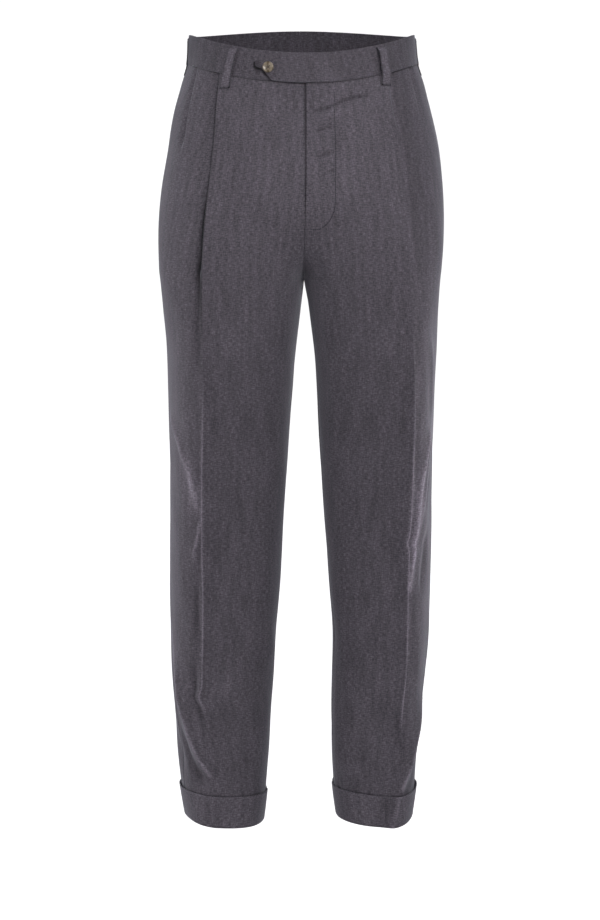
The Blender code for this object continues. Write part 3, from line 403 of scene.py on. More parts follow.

# Painted shade and highlight, as shares by which the cloth's own colour is darkened or lightened
# on the same kind of lines: shade in the bottoms of sharp folds, shade and highlight along the
# stitched edges, and highlight on the lit crests and facets of other folds
PAINTED_SHADE_AND_LIGHT = (
    (1, -0.45, 2, 2, 1.6, 0.15, 0.3, FLY_DRAG_TOP),
    (1, -0.32, 2.2, 2.2, 1.8, 0.2, 0.4, FLY_DRAG_MIDDLE),
    (1, -0.32, 2.2, 2.2, 1.8, 0.2, 0.4, FLY_DRAG_LOW),
    (1, -0.25, 2, 2, 1.8, 0.3, 0.4, ((0.21, -173), (0.28, -169), (0.32, -167))),
    (1, 0.1, 4, 4, 2, 0.2, 0.3, FLY_DRAG_LIT),
    (1, 0.4, 1.6, 1.6, 2, 0.2, 0.2, ((1.9, -100), (1.91, -140), (1.93, -185), (1.95, -215))),
    (1, 0.55, 6, 7, 2, 0.25, 0.2, ((1.2, -546), (1.13, -574), (1.09, -606), (1.07, -640), (1.06, -666),
        (1.03, -692))),
    (1, 1.5, 2.4, 2.6, 2, 0.12, 0.1, KNEE_LEFT),
    (1, 0.7, 2.2, 2.2, 2, 0.2, 0.3, KNEE_LEFT_SECOND),
    (1, -0.3, 7, 9, 2, 0.3, 0.4, ((1.5, -648), (1.45, -674), (1.36, -708), (1.25, -740), (1.2, -774))),
    (-1, -0.5, 1.2, 6, 2, 0.15, 0.6, ((1.01, -195), (1.01, -249), (1.015, -283), (1.02, -355),
        (1.02, -447))),
    (-1, -0.45, 2, 7, 2, 0.25, 0.7, ((1.02, -268), (1.02, -315), (1.02, -395), (1.02, -480))),
    (-1, 0.8, 2.8, 3.4, 2, 0.1, 0.25, KNEE_RIGHT),
    (-1, 0.5, 10, 10, 2, 0.3, 0.3, ((1.45, -537), (1.3, -566), (1.19, -592), (1.11, -614), (1.06, -640))),
    (-1, 0.3, 7, 7, 2, 0.3, 0.3, ((1.3, -530), (1.16, -566), (1.09, -592), (1.04, -616))),
    (-1, 0.8, 2.2, 2.2, 2, 0.15, 0.3, KNEE_RIGHT_BEND),
    (-1, -0.22, 5, 6, 2, 0.2, 0.3, ((1.12, -715), (1.12, -740), (1.1, -768), (1.1, -820))),
    (-1, 1.3, 2, 2, 2, 0.1, 0.1, ((1.76, -755),) + SHIN_RIGHT),
    (-1, 0.22, 7, 3, 2, 0.3, 0.2, ((1.2, -888), (1.13, -918), (1.06, -946), (1, -964))),
    (-1, -0.34, 5, 12, 2, 0.4, 0.15, ((1.72, -870), (1.55, -905), (1.42, -938), (1.29, -965),
        (1.17, -990))),
    (-1, -0.36, 3, 4, 2, 0.4, 0.3, ((1.12, -794), (1.14, -832), (1.12, -858), (1.05, -882), (1.06, -904),
        (1.04, -930))),
    (-1, 0.35, 2, 2, 2, 0.2, 0.2, ((1.07, -860), (1.01, -874), (0.99, -884), (0.98, -896))),
    (-1, 0.12, 10, 12, 2, 0.3, 0.3, ((0.67, -832), (0.79, -860), (0.9, -880), (0.95, -895))),
    (-1, 0.3, 3, 3, 2, 0.3, 0.2, ((0.98, -980), (0.93, -990), (0.9, -998))),
    (1, 1.3, 2, 2, 2, 0.2, 0.1, SHIN_LEFT),
    (1, -0.36, 4, 8, 2, 0.3, 0.1, ((1.6, -965), (1.4, -982), (1.2, -1002))),
    (1, -0.22, 3, 3, 2, 0.3, 0.3, ((0.95, -874), (0.97, -914), (0.98, -934), (1.07, -954))),
    (1, 0.45, 1.6, 1.6, 2, 0.1, 0.1, ((0.24, -772), (0.27, -852), (0.27, -906), (0.27, -954), (0.29, -980),
        (0.36, -1000))),
    (1, -0.28, 3, 3, 2, 0.1, 0.1, ((0.12, -773), (0.14, -830), (0.14, -879), (0.14, -944), (0.2, -1001))),
    (1, -0.38, 2.4, 2.4, 2, 0.3, 0.1, ((0.62, -978), (0.6, -990), (0.59, -1003))),
    (1, -0.34, 2.4, 2.4, 2, 0.3, 0.1, ((0.32, -992), (0.37, -1004))),
    (1, 0.14, 10, 6, 2, 0.3, 0.3, ((0.29, -976), (0.48, -970), (0.58, -970), (0.66, -976))),
    (-1, 0.35, 2, 2, 2, 0.2, 0.2, ((0.06, -500), (0.06, -700), (0.06, -880))),
)

# Slow waves that keep long plain stretches of cloth from being flat, below the waistband:
# height, length across and down, and phase
WAVE_TOP_Z = -60 * MM
WAVE_RISE = 60 * MM
WAVES = (
    (0.30, 71, 310, 0.4),
    (0.22, 43, 190, 2.1),
    (0.16, 29, 120, 4.0),
    (0.12, 57, 83, 5.2),
)


def column_value(columns, rows, name, z):
    """The named column at the heights z, read along a smooth curve through the rows."""
    heights = np.array([row[0] for row in rows], float)[::-1]
    values = np.array([row[columns.index(name)] for row in rows], float)[::-1]
    slopes = np.empty_like(values)
    slopes[1:-1] = (values[2:] - values[:-2]) / (heights[2:] - heights[:-2])
    slopes[0] = (values[1] - values[0]) / (heights[1] - heights[0])
    slopes[-1] = (values[-1] - values[-2]) / (heights[-1] - heights[-2])
    height = np.clip(np.asarray(z, float) / MM, heights[0], heights[-1])
    at = np.clip(np.searchsorted(heights, height) - 1, 0, len(rows) - 2)
    span = heights[at + 1] - heights[at]
    t = (height - heights[at]) / span
    start = (1 + 2 * t) * (1 - t) ** 2 * values[at] + t * (1 - t) ** 2 * span * slopes[at]
    end = t * t * (3 - 2 * t) * values[at + 1] - t * t * (1 - t) * span * slopes[at + 1]
    return start + end


def smooth_step(value):
    t = np.clip(value, 0.0, 1.0)
    return t * t * (3 - 2 * t)


def length(vectors):
    return np.sqrt((vectors ** 2).sum(axis=-1))


def near(distance, reach):
    return np.exp(-(distance / reach) ** 2)


def matched(*values):
    """The values as float arrays of one shape."""
    return np.broadcast_arrays(*[np.asarray(value, float) for value in values])


def hand(side):
    return "_left" if side > 0 else "_right"


def outline(name, side, z):
    return column_value(OUTLINE_COLUMNS, OUTLINE, name + hand(side), z) * MM


def depth(name, z):
    return column_value(DEPTH_COLUMNS, DEPTH, name, z)


def seam_u(name, side, z):
    return column_value(SEAM_COLUMNS, SEAMS, name + "_u" + hand(side), z)


def seam_x(name, side, z):
    return side * column_value(SEAM_COLUMNS, SEAMS, name + "_x", z) * MM


def crease_place(side, z, back):
    crease = outline("crease", side, z)
    if back:
        return outline("in", side, z) + outline("out", side, z) - crease + BACK_CREASE_SHIFT
    for stray_side, stray_z, shift, half_height in CREASE_STRAYS:
        if stray_side == side:
            crease = crease + shift * MM * np.exp(-((z / MM - stray_z) / half_height) ** 2)
    return crease


def torso_swell(angle, z):
    square = np.where(np.cos(angle) > 0, depth("front_square", z), depth("back_square", z))
    return 1 + square * np.sin(2 * angle) ** 2


def torso_centre(side, angle, z):
    front, back = seam_x("front", side, z), seam_x("back", side, z)
    return (front * (1 + np.cos(angle)) + back * (1 - np.cos(angle))) / 2


def crease_angle(side, z):
    """Angle at which the torso section passes through the front crease."""
    out, crease = outline("out", side, z), crease_place(side, z, False)
    angle = np.arcsin(np.minimum(crease / out, MOST_SINE))
    for _ in range(6):
        centre = torso_centre(side, angle, z)
        sine = (crease - centre) / ((out - centre) * torso_swell(angle, z))
        angle = np.arcsin(np.minimum(sine, MOST_SINE))
    return angle


def torso_angle(side, u, z):
    """Angle round the torso section: 0 at centre front, 90 degrees at the side."""
    front = crease_angle(side, z)
    quarter = 0.5 * math.pi
    before_side = front + (u - 1) * (quarter - front)
    after_side = quarter + (u - 2) * (BACK_CREASE_ANGLE - quarter)
    after_crease = BACK_CREASE_ANGLE + (u - 3) * (math.pi - BACK_CREASE_ANGLE)
    angle = np.where(u < 1, u * front, before_side)
    angle = np.where(u < 2, angle, after_side)
    return np.where(u < 3, angle, after_crease)


def torso_point(side, u, z):
    angle = torso_angle(side, u, z)
    swell, centre = torso_swell(angle, z), torso_centre(side, angle, z)
    reach = np.where(np.cos(angle) > 0, depth("front", z), depth("back", z)) * MM
    x = centre + (outline("out", side, z) - centre) * swell * np.sin(angle)
    return x, -reach * swell * np.cos(angle)


def leg_point(side, u, z):
    turn = np.mod(u, 4.0)
    quarter = np.minimum(np.floor(turn).astype(int), 3)
    angle = (turn - quarter) * 0.5 * math.pi
    swell = 1 + np.array(LEG_SQUARE)[quarter] * np.sin(2 * angle) ** 2
    sine, cosine = swell * np.sin(angle), swell * np.cos(angle)
    front_x, back_x = crease_place(side, z, False), crease_place(side, z, True)
    inner, outer = outline("in", side, z), outline("out", side, z)
    front, back = -depth("front", z) * MM, depth("back", z) * MM
    side_y = depth("side_y", z) * MM
    choose = [quarter == 0, quarter == 1, quarter == 2, quarter == 3]
    x = np.select(choose, [front_x - (front_x - inner) * cosine, front_x + (outer - front_x) * sine,
                           back_x + (outer - back_x) * cosine, back_x - (back_x - inner) * sine])
    y = np.select(choose, [FORK_Y + (front - FORK_Y) * sine, side_y + (front - side_y) * cosine,
                           side_y + (back - side_y) * sine, FORK_Y + (back - FORK_Y) * cosine])
    return x, y


def leg_share(u, z):
    """0 where the section is the open torso, 1 where it is a closed leg."""
    s = np.clip((FORK_Z + CROTCH_CURVE_HEIGHT - z) / CROTCH_CURVE_HEIGHT, 0.0, 1.0)
    at_seam = 1 - np.sqrt(1 - s * s)
    elsewhere = smooth_step((FORK_Z + CROTCH_CURVE_HEIGHT - z) / LEG_BLEND)
    from_seam = np.minimum(abs(u), abs(4 - u)) / SEAM_REACH
    return elsewhere + (at_seam - elsewhere) * np.exp(-from_seam ** 2)


def bare_point(side, u, z):
    """The smooth surface without creases and folds."""
    u, z = matched(u, z)
    share = leg_share(u, z)
    x, y = torso_point(side, u, z)
    leg_x, leg_y = leg_point(side, u, z)
    x, y = x + (leg_x - x) * share, y + (leg_y - y) * share
    return np.stack([side * (x + PANEL_GAP / 2), y, z], axis=-1)


def normal_at(side, u, z):
    u, z = matched(u, z)
    step_u, step_z = 0.01, 1.0 * MM
    near_fork = (z > FORK_Z - step_z) & (z < FORK_Z + 3 * step_z)
    lower = np.where(near_fork, z - 2 * step_z, z - step_z)
    upper = np.where(near_fork, z, z + step_z)
    along = bare_point(side, u + step_u, z) - bare_point(side, u - step_u, z)
    down = bare_point(side, u, lower) - bare_point(side, u, upper)
    normal = np.cross(along, down) * -side
    return normal / length(normal)[..., None]


def raised(side, u, z, lift):
    """Points that stand off the bare surface."""
    return bare_point(side, u, z) + normal_at(side, u, z) * lift[..., None]


def from_centre(side, u, z):
    """Distance of a point beyond the centre front."""
    return length(bare_point(side, np.maximum(u, 0.0), z) - bare_point(side, 0.0 * u, z))


def crease_lift(side, u, z):
    nearest = np.minimum(abs(u - 1), abs(u - 3))
    pressed_in = smooth_step((CREASE_EDGE_TOP - z) / CREASE_EDGE_RISE) * still_sharp(side, u, z)
    edge = CREASE_EDGE * pressed_in * np.exp(-nearest / CREASE_EDGE_U)
    return depth("crease_ridge", z) * MM * np.exp(-nearest / CREASE_WIDTH_U) + edge


def still_sharp(side, u, z):
    """The front creases lose their edge where the cloth breaks above the shoe."""
    return np.where(u < 2, smooth_step((z - CREASE_ENDS[side]) / CREASE_END_FADE), 1.0)


def fold_lift(side, u, z, bare, folds):
    """Sum of the folds: each stands out by its distance from its own line."""
    total = np.zeros(u.shape)
    for values in folds:
        fold = dict(zip(FOLD_COLUMNS, values))
        if fold["side"] != side:
            continue
        line = np.array(fold["line"], float)
        steps = np.arange(0, len(line) - 1 + 1e-6, 1 / FOLD_SPANS)
        line_u = np.interp(steps, np.arange(len(line)), line[:, 0])
        line_z = np.interp(steps, np.arange(len(line)), line[:, 1]) * MM
        reach = 3.0 * max(fold["low_width"], fold["high_width"]) * MM
        close = (z < line_z.max() + reach) & (z > line_z.min() - reach)
        if close.any():
            total[close] += one_fold(side, u[close], bare[close], fold, line_u, line_z)
    return total


def one_fold(side, u, points, fold, line_u, line_z):
    knots = bare_point(side, line_u, line_z)
    best = np.full(len(points), np.inf)
    along = np.zeros(len(points))
    for index in range(len(knots) - 1):
        span = knots[index + 1] - knots[index]
        t = np.clip((points - knots[index]) @ span / (span @ span), 0.0, 1.0)
        distance = length(points - knots[index] - t[:, None] * span)
        closer = distance < best
        best = np.where(closer, distance, best)
        along = np.where(closer, (index + t) / (len(knots) - 1), along)
    beside = u - np.interp(along * (len(knots) - 1), np.arange(len(knots)), line_u)
    turn = smooth_step(0.5 + beside / FOLD_TURN_U)
    width = (fold["low_width"] + (fold["high_width"] - fold["low_width"]) * turn) * MM
    fade = smooth_step(along / fold["fade_in"]) * smooth_step((1 - along) / fold["fade_out"])
    return fold["height"] * MM * fade * np.exp(-(best / width) ** fold["power"])


def wave_lift(side, u, z):
    total = np.zeros(np.shape(u))
    for height, across, down, phase in WAVES:
        turns = u * U_SPAN / across + z / down * side
        total = total + height * MM * np.sin(6.28 * turns / MM + phase)
    return total * smooth_step((WAVE_TOP_Z - z) / WAVE_RISE)


def lift_at(side, u, z):
    """Everything that stands out from the bare surface."""
    bare = bare_point(side, u, z)
    total = crease_lift(side, u, z) + wave_lift(side, u, z)
    for folds in (LARGE_FOLDS, FRONT_FOLDS, BACK_FOLDS):
        total = total + fold_lift(side, u, z, bare, folds)
    return total


def surface_point(side, u, z, offset=0.0):
    """The surface with its creases and folds."""
    u, z = matched(u, z)
    return raised(side, u, z, lift_at(side, u, z) + offset)


def u_beyond(side, u, z, distance):
    """The u that lies a distance along the section beyond u."""
    u, z, distance = matched(u, z, distance)
    result = u + np.where(distance < 0, -0.02, 0.02)
    start = bare_point(side, u, z)
    for _ in range(3):
        reached = length(bare_point(side, result, z) - start)
        result = u + (result - u) * abs(distance) / np.maximum(reached, 0.01 * MM)
    return np.where(distance == 0, u, result)


def band_lower_z(side, u):
    angle = torso_angle(side, np.asarray(u, float), BAND_SIDE_Z)
    cosine = np.cos(angle)
    return BAND_SIDE_Z - np.where(cosine > 0, BAND_FRONT_DROP, -BAND_BACK_RISE) * cosine ** 2


def cuff_lower_z(side, u):
    u = np.asarray(u, float)
    front = np.maximum(np.sin(0.5 * math.pi * u), 0.0) ** 2 * (u < 2)
    inner = 0.5 + 0.5 * np.cos(0.5 * math.pi * u)
    return HEM_Z - CUFF_FRONT_DROP[side] * front - CUFF_INNER_DROP[side] * inner


def panel_z(side, u, v):
    """Height of row v: 0 waist, 1 top of the crotch curve, 2 fork, 3 hem."""
    top = band_lower_z(side, u) - SEAM_GAP
    crotch_top = FORK_Z + CROTCH_CURVE_HEIGHT
    hem = cuff_lower_z(side, u) + CUFF_WALL + SEAM_GAP
    torso = top + (crotch_top - top) * v
    crotch = crotch_top - CROTCH_CURVE_HEIGHT * np.sin(np.clip(v - 1, 0, 1) * 0.5 * math.pi)
    leg = FORK_Z + (hem - FORK_Z) * (v - 2)
    return np.where(v < 1, torso, np.where(v < 2, crotch, leg))


def crowded(count, ends):
    """Steps from 0 to 1 that lie closer together at both ends."""
    t = np.arange(count + 1) / count
    return t - ends * np.sin(2 * math.pi * t) / (2 * math.pi)


def pleat_profile(pleat, z):
    """Every column of one Z-shaped pleat: distance beyond the crease, offset, direction, shade."""
    end = pleat["end_z"] * MM
    strength = np.clip((z - end) / (PLEAT_TOP_Z - end), 0.0, 1.0)
    offset = (pleat["offset_end"] + (pleat["offset_top"] - pleat["offset_end"]) * strength) * MM
    tuck = PLEAT_LEAST_DEPTH + pleat["depth_top"] * MM * strength ** PLEAT_DEPTH_POWER
    closed = smooth_step(strength / pleat["opening"])
    turn = math.pi * closed / PLEAT_TURN_STEPS
    turn_length = math.pi * pleat["pitch"] * MM / 2 / PLEAT_TURN_STEPS
    moves = [(turn_length, -turn)] * PLEAT_TURN_STEPS
    moves += [(tuck / PLEAT_TUCK_STEPS, 0.0)] * PLEAT_TUCK_STEPS
    moves += [(turn_length, turn)] * PLEAT_TURN_STEPS
    along, level, direction = offset, 0.0 * z, 0.0 * z
    shade = -pleat["shade"] * closed
    outer_shade = -pleat["outer_shade"] * smooth_step(strength / PLEAT_SHADE_SPAN)
    columns = []
    for step, bend in moves:
        direction = direction + bend / 2
        along = along + step * np.cos(direction)
        level = level + step * np.sin(direction)
        direction = direction + bend / 2
        columns.append((along, level, direction, shade))
    out_again = np.maximum(offset + PLEAT_OVERHANG, along + PLEAT_STEP)
    columns.append((out_again, level, 0.0 * z, shade))
    for step in range(1, PLEAT_RISE_STEPS + 1):
        part = step / PLEAT_RISE_STEPS
        columns.append((out_again + part * pleat["rise"] * MM, level * (1 - part) ** 2, 0.0 * z,
                        outer_shade * (1 - part) ** pleat["shade_power"]))
    return columns


def mouth_u(side, z):
    """Outer edge of the front: the slanted pocket mouth, then the side seam."""
    reach = np.clip((z - POCKET_MOUTH_END_Z) / (BAND_SIDE_Z - POCKET_MOUTH_END_Z), 0.0, 1.0)
    return u_beyond(side, seam_u("side", side, z), z, -POCKET_MOUTH_TOP * reach - PANEL_GAP / 2)


def inseam_edge(side, z, direction):
    start = 0.0 if direction > 0 else 4.0
    below = u_beyond(side, start + seam_u("inseam", side, z), z, direction * PANEL_GAP / 2)
    return np.where(z > FORK_Z + 0.1 * MM, start, below)


def front_edge(side, z):
    edge = inseam_edge(side, z, 1)
    if side > 0:
        return edge
    under = u_beyond(side, 0.0, z, -FLY_UNDERLAP * np.clip((z - FLY_END_Z) / FLY_TAPER, 0.0, 1.0))
    return np.where(z > FLY_END_Z, under, edge)


def fly_lift(side, u, start, z):
    if side < 0:
        return 0.0 * u
    reach = length(bare_point(side, u, z) - bare_point(side, start, z)) / FLY_BLEND
    return FLY_LIFT * (1 - smooth_step(reach)) * beside_fly(z)


def front_stations(side, z):
    """u, offset, direction and shade of every column of a front, given each column's height."""
    start = front_edge(side, z[:, :FRONT_STEPS + 1])
    near_u = start + (1 - start) * crowded(FRONT_STEPS, 0.6)
    parts = [(near_u, fly_lift(side, near_u, start, z[:, :FRONT_STEPS + 1]), 0.0 * near_u, 0.0 * near_u)]
    level_z = z[:, FRONT_STEPS]
    columns = []
    for values in PLEATS:
        pleat = dict(zip(PLEAT_COLUMNS, values))
        if pleat["side"] != side:
            continue
        folded = pleat_profile(pleat, level_z)
        if columns:
            first, last = folded[0][0] - PLEAT_STEP, columns[-1][0]
            for step in range(1, BETWEEN_PLEATS_STEPS + 1):
                along = last + (first - last) * step / BETWEEN_PLEATS_STEPS
                columns.append((along, 0.0 * level_z, 0.0 * level_z, 0.0 * level_z))
        columns += folded
    count = len(columns)
    along, level, direction, shade = (np.stack([column[k] for column in columns], axis=1) for k in range(4))
    pleat_z = z[:, FRONT_STEPS + 1:FRONT_STEPS + 1 + count]
    parts.append((u_beyond(side, 1.0, pleat_z, along), level, direction, shade))
    last_z = z[:, -POCKET_STEPS:]
    last_u, end = parts[-1][0][:, -1:], mouth_u(side, last_z)
    pocket_u = last_u + (end - last_u) * crowded(POCKET_STEPS, 0.5)[1:]
    parts.append((pocket_u, 0.0 * pocket_u, 0.0 * pocket_u, 0.0 * pocket_u))
    u, offset, turned, shades = (np.concatenate([part[k] for part in parts], axis=1) for k in range(4))
    beyond = z[:, FRONT_STEPS + 1:]
    even = smooth_step((PLEATS_END_Z - beyond) / LEG_SPREAD)
    target = 1 + (mouth_u(side, beyond) - 1) * crowded(beyond.shape[1], 0.5)[1:]
    u[:, FRONT_STEPS + 1:] += (target - u[:, FRONT_STEPS + 1:]) * even
    return u, offset, turned, shades


def front_column_count():
    pleat = 2 * PLEAT_TURN_STEPS + PLEAT_TUCK_STEPS + 1 + PLEAT_RISE_STEPS
    return FRONT_STEPS + 2 * pleat + BETWEEN_PLEATS_STEPS + POCKET_STEPS


def back_stations(side, z):
    start = u_beyond(side, seam_u("side", side, z), z, PANEL_GAP / 2)
    end = inseam_edge(side, z, -1)
    first = start + (3 - start) * np.append(crowded(BACK_STEPS[0], 0.6), np.ones(BACK_STEPS[1]))
    second = (end - 3) * np.append(np.zeros(BACK_STEPS[0]), crowded(BACK_STEPS[1], 0.6))
    u = first + second
    return u, 0.0 * u, 0.0 * u, 0.0 * u


def facing_stations(side, z):
    mouth = mouth_u(side, z)
    seam = u_beyond(side, seam_u("side", side, z), z, -PANEL_GAP / 2)
    seam = np.maximum(seam, u_beyond(side, mouth, z, FACING_LEAST))
    under = u_beyond(side, mouth, z, -FACING_UNDERLAP)
    u = under + (seam - under) * np.arange(FACING_STEPS + 1) / FACING_STEPS
    beyond = np.where(u > mouth, length(bare_point(side, u, z) - bare_point(side, mouth, z)), 0.0)
    rise = smooth_step((beyond - FACING_RISE_START) / FACING_RISE)
    return u, -FACING_DEPTH * (1 - rise)


def top_distance(points):
    return np.cumsum(np.pad(length(np.diff(points, axis=0)), ((1, 0), (0, 0))), axis=0)


def crease_highlight(z):
    """Share of the painted highlight along the crease: it comes in at the thigh and is full below."""
    return smooth_step((CREASE_HIGHLIGHT_TOP_Z - z) / CREASE_HIGHLIGHT_FADE)


def fly_shadow(side, u, z):
    """The edge of the fly darkens the front that it laps over, further out near the waist."""
    reach = FLY_SHADOW + FLY_SHADOW * smooth_step((z - FLY_SHADOW_Z) / FLY_SHADOW_FADE)
    return FLY_TONE * near(from_centre(side, u, z), reach) * beside_fly(z)


def beside_fly(z):
    """1 along the fly and 0 below its end."""
    return smooth_step((z - FLY_END_Z + FLY_TAPER) / FLY_TAPER)


def panel_points(side, stations, column_count, seam_dips):
    """Lays a panel. seam_dips are the depths to which the first and last edges roll in."""
    v = PANEL_ROWS[:, None] + np.zeros(column_count + 1)
    z = panel_z(side, np.ones(v.shape), v)
    for _ in range(4):
        u, offset, direction, shade = stations(side, z)
        z = panel_z(side, u, v)
    half = CLOTH / 2
    shifted = u_beyond(side, u, z, -half * np.sin(direction))
    points = surface_point(side, shifted, z, offset - half + half * np.cos(direction))
    across = cloth_uv(points)[..., 0]
    # Painted shade and highlight: shadow under the waistband and above the turn-up, the highlight along the
    # crease, the listed fold lines, shade in the seams and the fly's shadow
    tone = shade - TOP_TONE * near(top_distance(points), EDGE_SHADOW)
    above_cuff = z - cuff_lower_z(side, u) - CUFF_HEIGHT
    tone = tone - CUFF_TOP_TONE * near(above_cuff - 0.5 * MM, EDGE_SHADOW)
    # Painted highlight along the crease line
    line = near(U_SPAN * np.minimum(abs(u - 1), abs(u - 3)), CREASE_HIGHLIGHT_WIDTH)
    tone = tone + CREASE_HIGHLIGHT_TONE * line * crease_highlight(z) * still_sharp(side, u, z)
    tone = tone + fold_lift(side, u, z, bare_point(side, u, z), PAINTED_SHADE_AND_LIGHT) / MM
    for dip, from_edge in zip(seam_dips, (across, across[:, -1:] - across)):
        points = points - normal_at(side, shifted, z) * (dip * MM * near(from_edge, SEAM_ROLL))[..., None]
        tone = tone - SEAM_TONE * dip * near(from_edge, SEAM_SHADOW)
    if side < 0 and stations is front_stations:
        tone = tone - fly_shadow(side, u, z)
    return points, tone


def placed(name, data):
    """Adds an object to the scene."""
    made = bpy.data.objects.new(name, data)
    bpy.context.scene.collection.objects.link(made)
    return made


def piece_from(name, mesh_data):
    """Turns a finished bmesh into an object."""
    mesh = bpy.data.meshes.new(name)
    mesh_data.to_mesh(mesh)
    mesh_data.free()
    return placed(name, mesh)


def cloth_slab(name, points, uv, flip, tone):
    """A flat grid whose vertex at column i and row j is laid at points[j, i]."""
    rows, columns = points.shape[0] - 1, points.shape[1] - 1
    mesh_data = bmesh.new()
    place = Matrix.Translation((columns / 2, rows / 2, 0)) @ Matrix.Diagonal((columns / 2, rows / 2, 1, 1))
    bmesh.ops.create_grid(mesh_data, x_segments=columns, y_segments=rows, size=1.0, matrix=place)
    if flip:
        bmesh.ops.reverse_faces(mesh_data, faces=mesh_data.faces[:])
    made = piece_from(name, mesh_data)
    mesh = made.data
    flat = np.empty(len(mesh.vertices) * 3)
    mesh.vertices.foreach_get("co", flat)
    cells = np.rint(flat.reshape(-1, 3)[:, :2]).astype(int)
    mesh.vertices.foreach_set("co", points[cells[:, 1], cells[:, 0]].ravel())
    corners = np.empty(len(mesh.loops), int)
    mesh.loops.foreach_get("vertex_index", corners)
    layer = mesh.uv_layers.new(name="cloth")
    layer.data.foreach_set("uv", uv[cells[corners, 1], cells[corners, 0]].ravel())
    if tone is not None:
        shade = mesh.attributes.new("tone", "FLOAT", "POINT")
        shade.data.foreach_set("value", tone[cells[:, 1], cells[:, 0]])
    mesh.shade_smooth()
    mesh.update()
    return made


def cloth_uv(points, column=0):
    """Distances over the cloth: across from one column, and down along it."""
    across = np.cumsum(np.pad(length(np.diff(points, axis=1)), ((0, 0), (1, 0))), axis=1)
    across -= across[:, column:column + 1]
    down = np.cumsum(np.pad(length(np.diff(points[:, column], axis=0)), (1, 0)))
    return np.stack([across, np.broadcast_to(-down[:, None], across.shape)], axis=-1)


def weld_seam(piece):
    mesh_data = bmesh.new()
    mesh_data.from_mesh(piece.data)
    bmesh.ops.remove_doubles(mesh_data, verts=mesh_data.verts[:], dist=1e-7)
    mesh_data.to_mesh(piece.data)
    mesh_data.free()


def thicken(piece, wall, edge):
    """Gives a sheet its wall on the inner side. edge is the width and steps of its rounding."""
    solid = piece.modifiers.new("wall", "SOLIDIFY")
    solid.thickness = wall
    solid.offset = -1.0
    if edge:
        bevel = piece.modifiers.new("edge", "BEVEL")
        bevel.width, bevel.segments = edge
        bevel.limit_method = "ANGLE"
        bevel.angle_limit = math.radians(50)


def dress(piece, material, slot, *nodes):
    """Gives a piece its material, hangs it on the root body and hides the solids that it stands for."""
    piece.data.materials.clear()
    piece.data.materials.append(material)
    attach(piece, "root")
    if nodes:
        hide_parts(*nodes)


def sew(node_name, points, wall, flip=False, uv_column=0, tone=None, edge=None):
    """Makes one cloth piece of its laid points. A strip that meets itself is closed."""
    piece = cloth_slab(node_name + "_cloth", points, cloth_uv(points, uv_column), flip, tone)
    if (points[:, 0] == points[:, -1]).all():
        weld_seam(piece)
    thicken(piece, wall, edge)
    dress(piece, WOOL, "wool", node_name)


# Materials


def feed(tree, inputs, values):
    """Links sockets to inputs and gives them plain values."""
    for key, value in values.items():
        if isinstance(value, bpy.types.NodeSocket):
            tree.links.new(value, inputs[key])
        else:
            inputs[key].default_value = value


def node(tree, kind, values=None, **settings):
    made = tree.nodes.new(kind)
    for key, value in settings.items():
        setattr(made, key, value)
    feed(tree, made.inputs, values or {})
    return made


def mixed(tree, factor, first, second):
    return node(tree, "ShaderNodeMix", {0: factor, 6: first, 7: second}, data_type="RGBA").outputs[2]


def maths(tree, operation, first, second):
    return node(tree, "ShaderNodeMath", {0: first, 1: second}, operation=operation).outputs[0]


def weighted(tree, start, *terms):
    """start plus each socket times its weight."""
    for value, weight in terms:
        start = maths(tree, "ADD", maths(tree, "MULTIPLY", value, weight), start)
    return start


def noise(tree, vector, scale, detail, roughness, stretch=(1, 1, 1)):
    place = node(tree, "ShaderNodeMapping", {"Vector": vector, "Scale": stretch}).outputs[0]
    return node(tree, "ShaderNodeTexNoise", {"Vector": place, "Scale": scale, "Detail": detail,
                                             "Roughness": roughness}).outputs["Fac"]


def spread(tree, value, low, high):
    """Stretches the middle of a noise to 0..1."""
    return node(tree, "ShaderNodeMapRange", {"Value": value, "From Min": low, "From Max": high}).outputs[0]


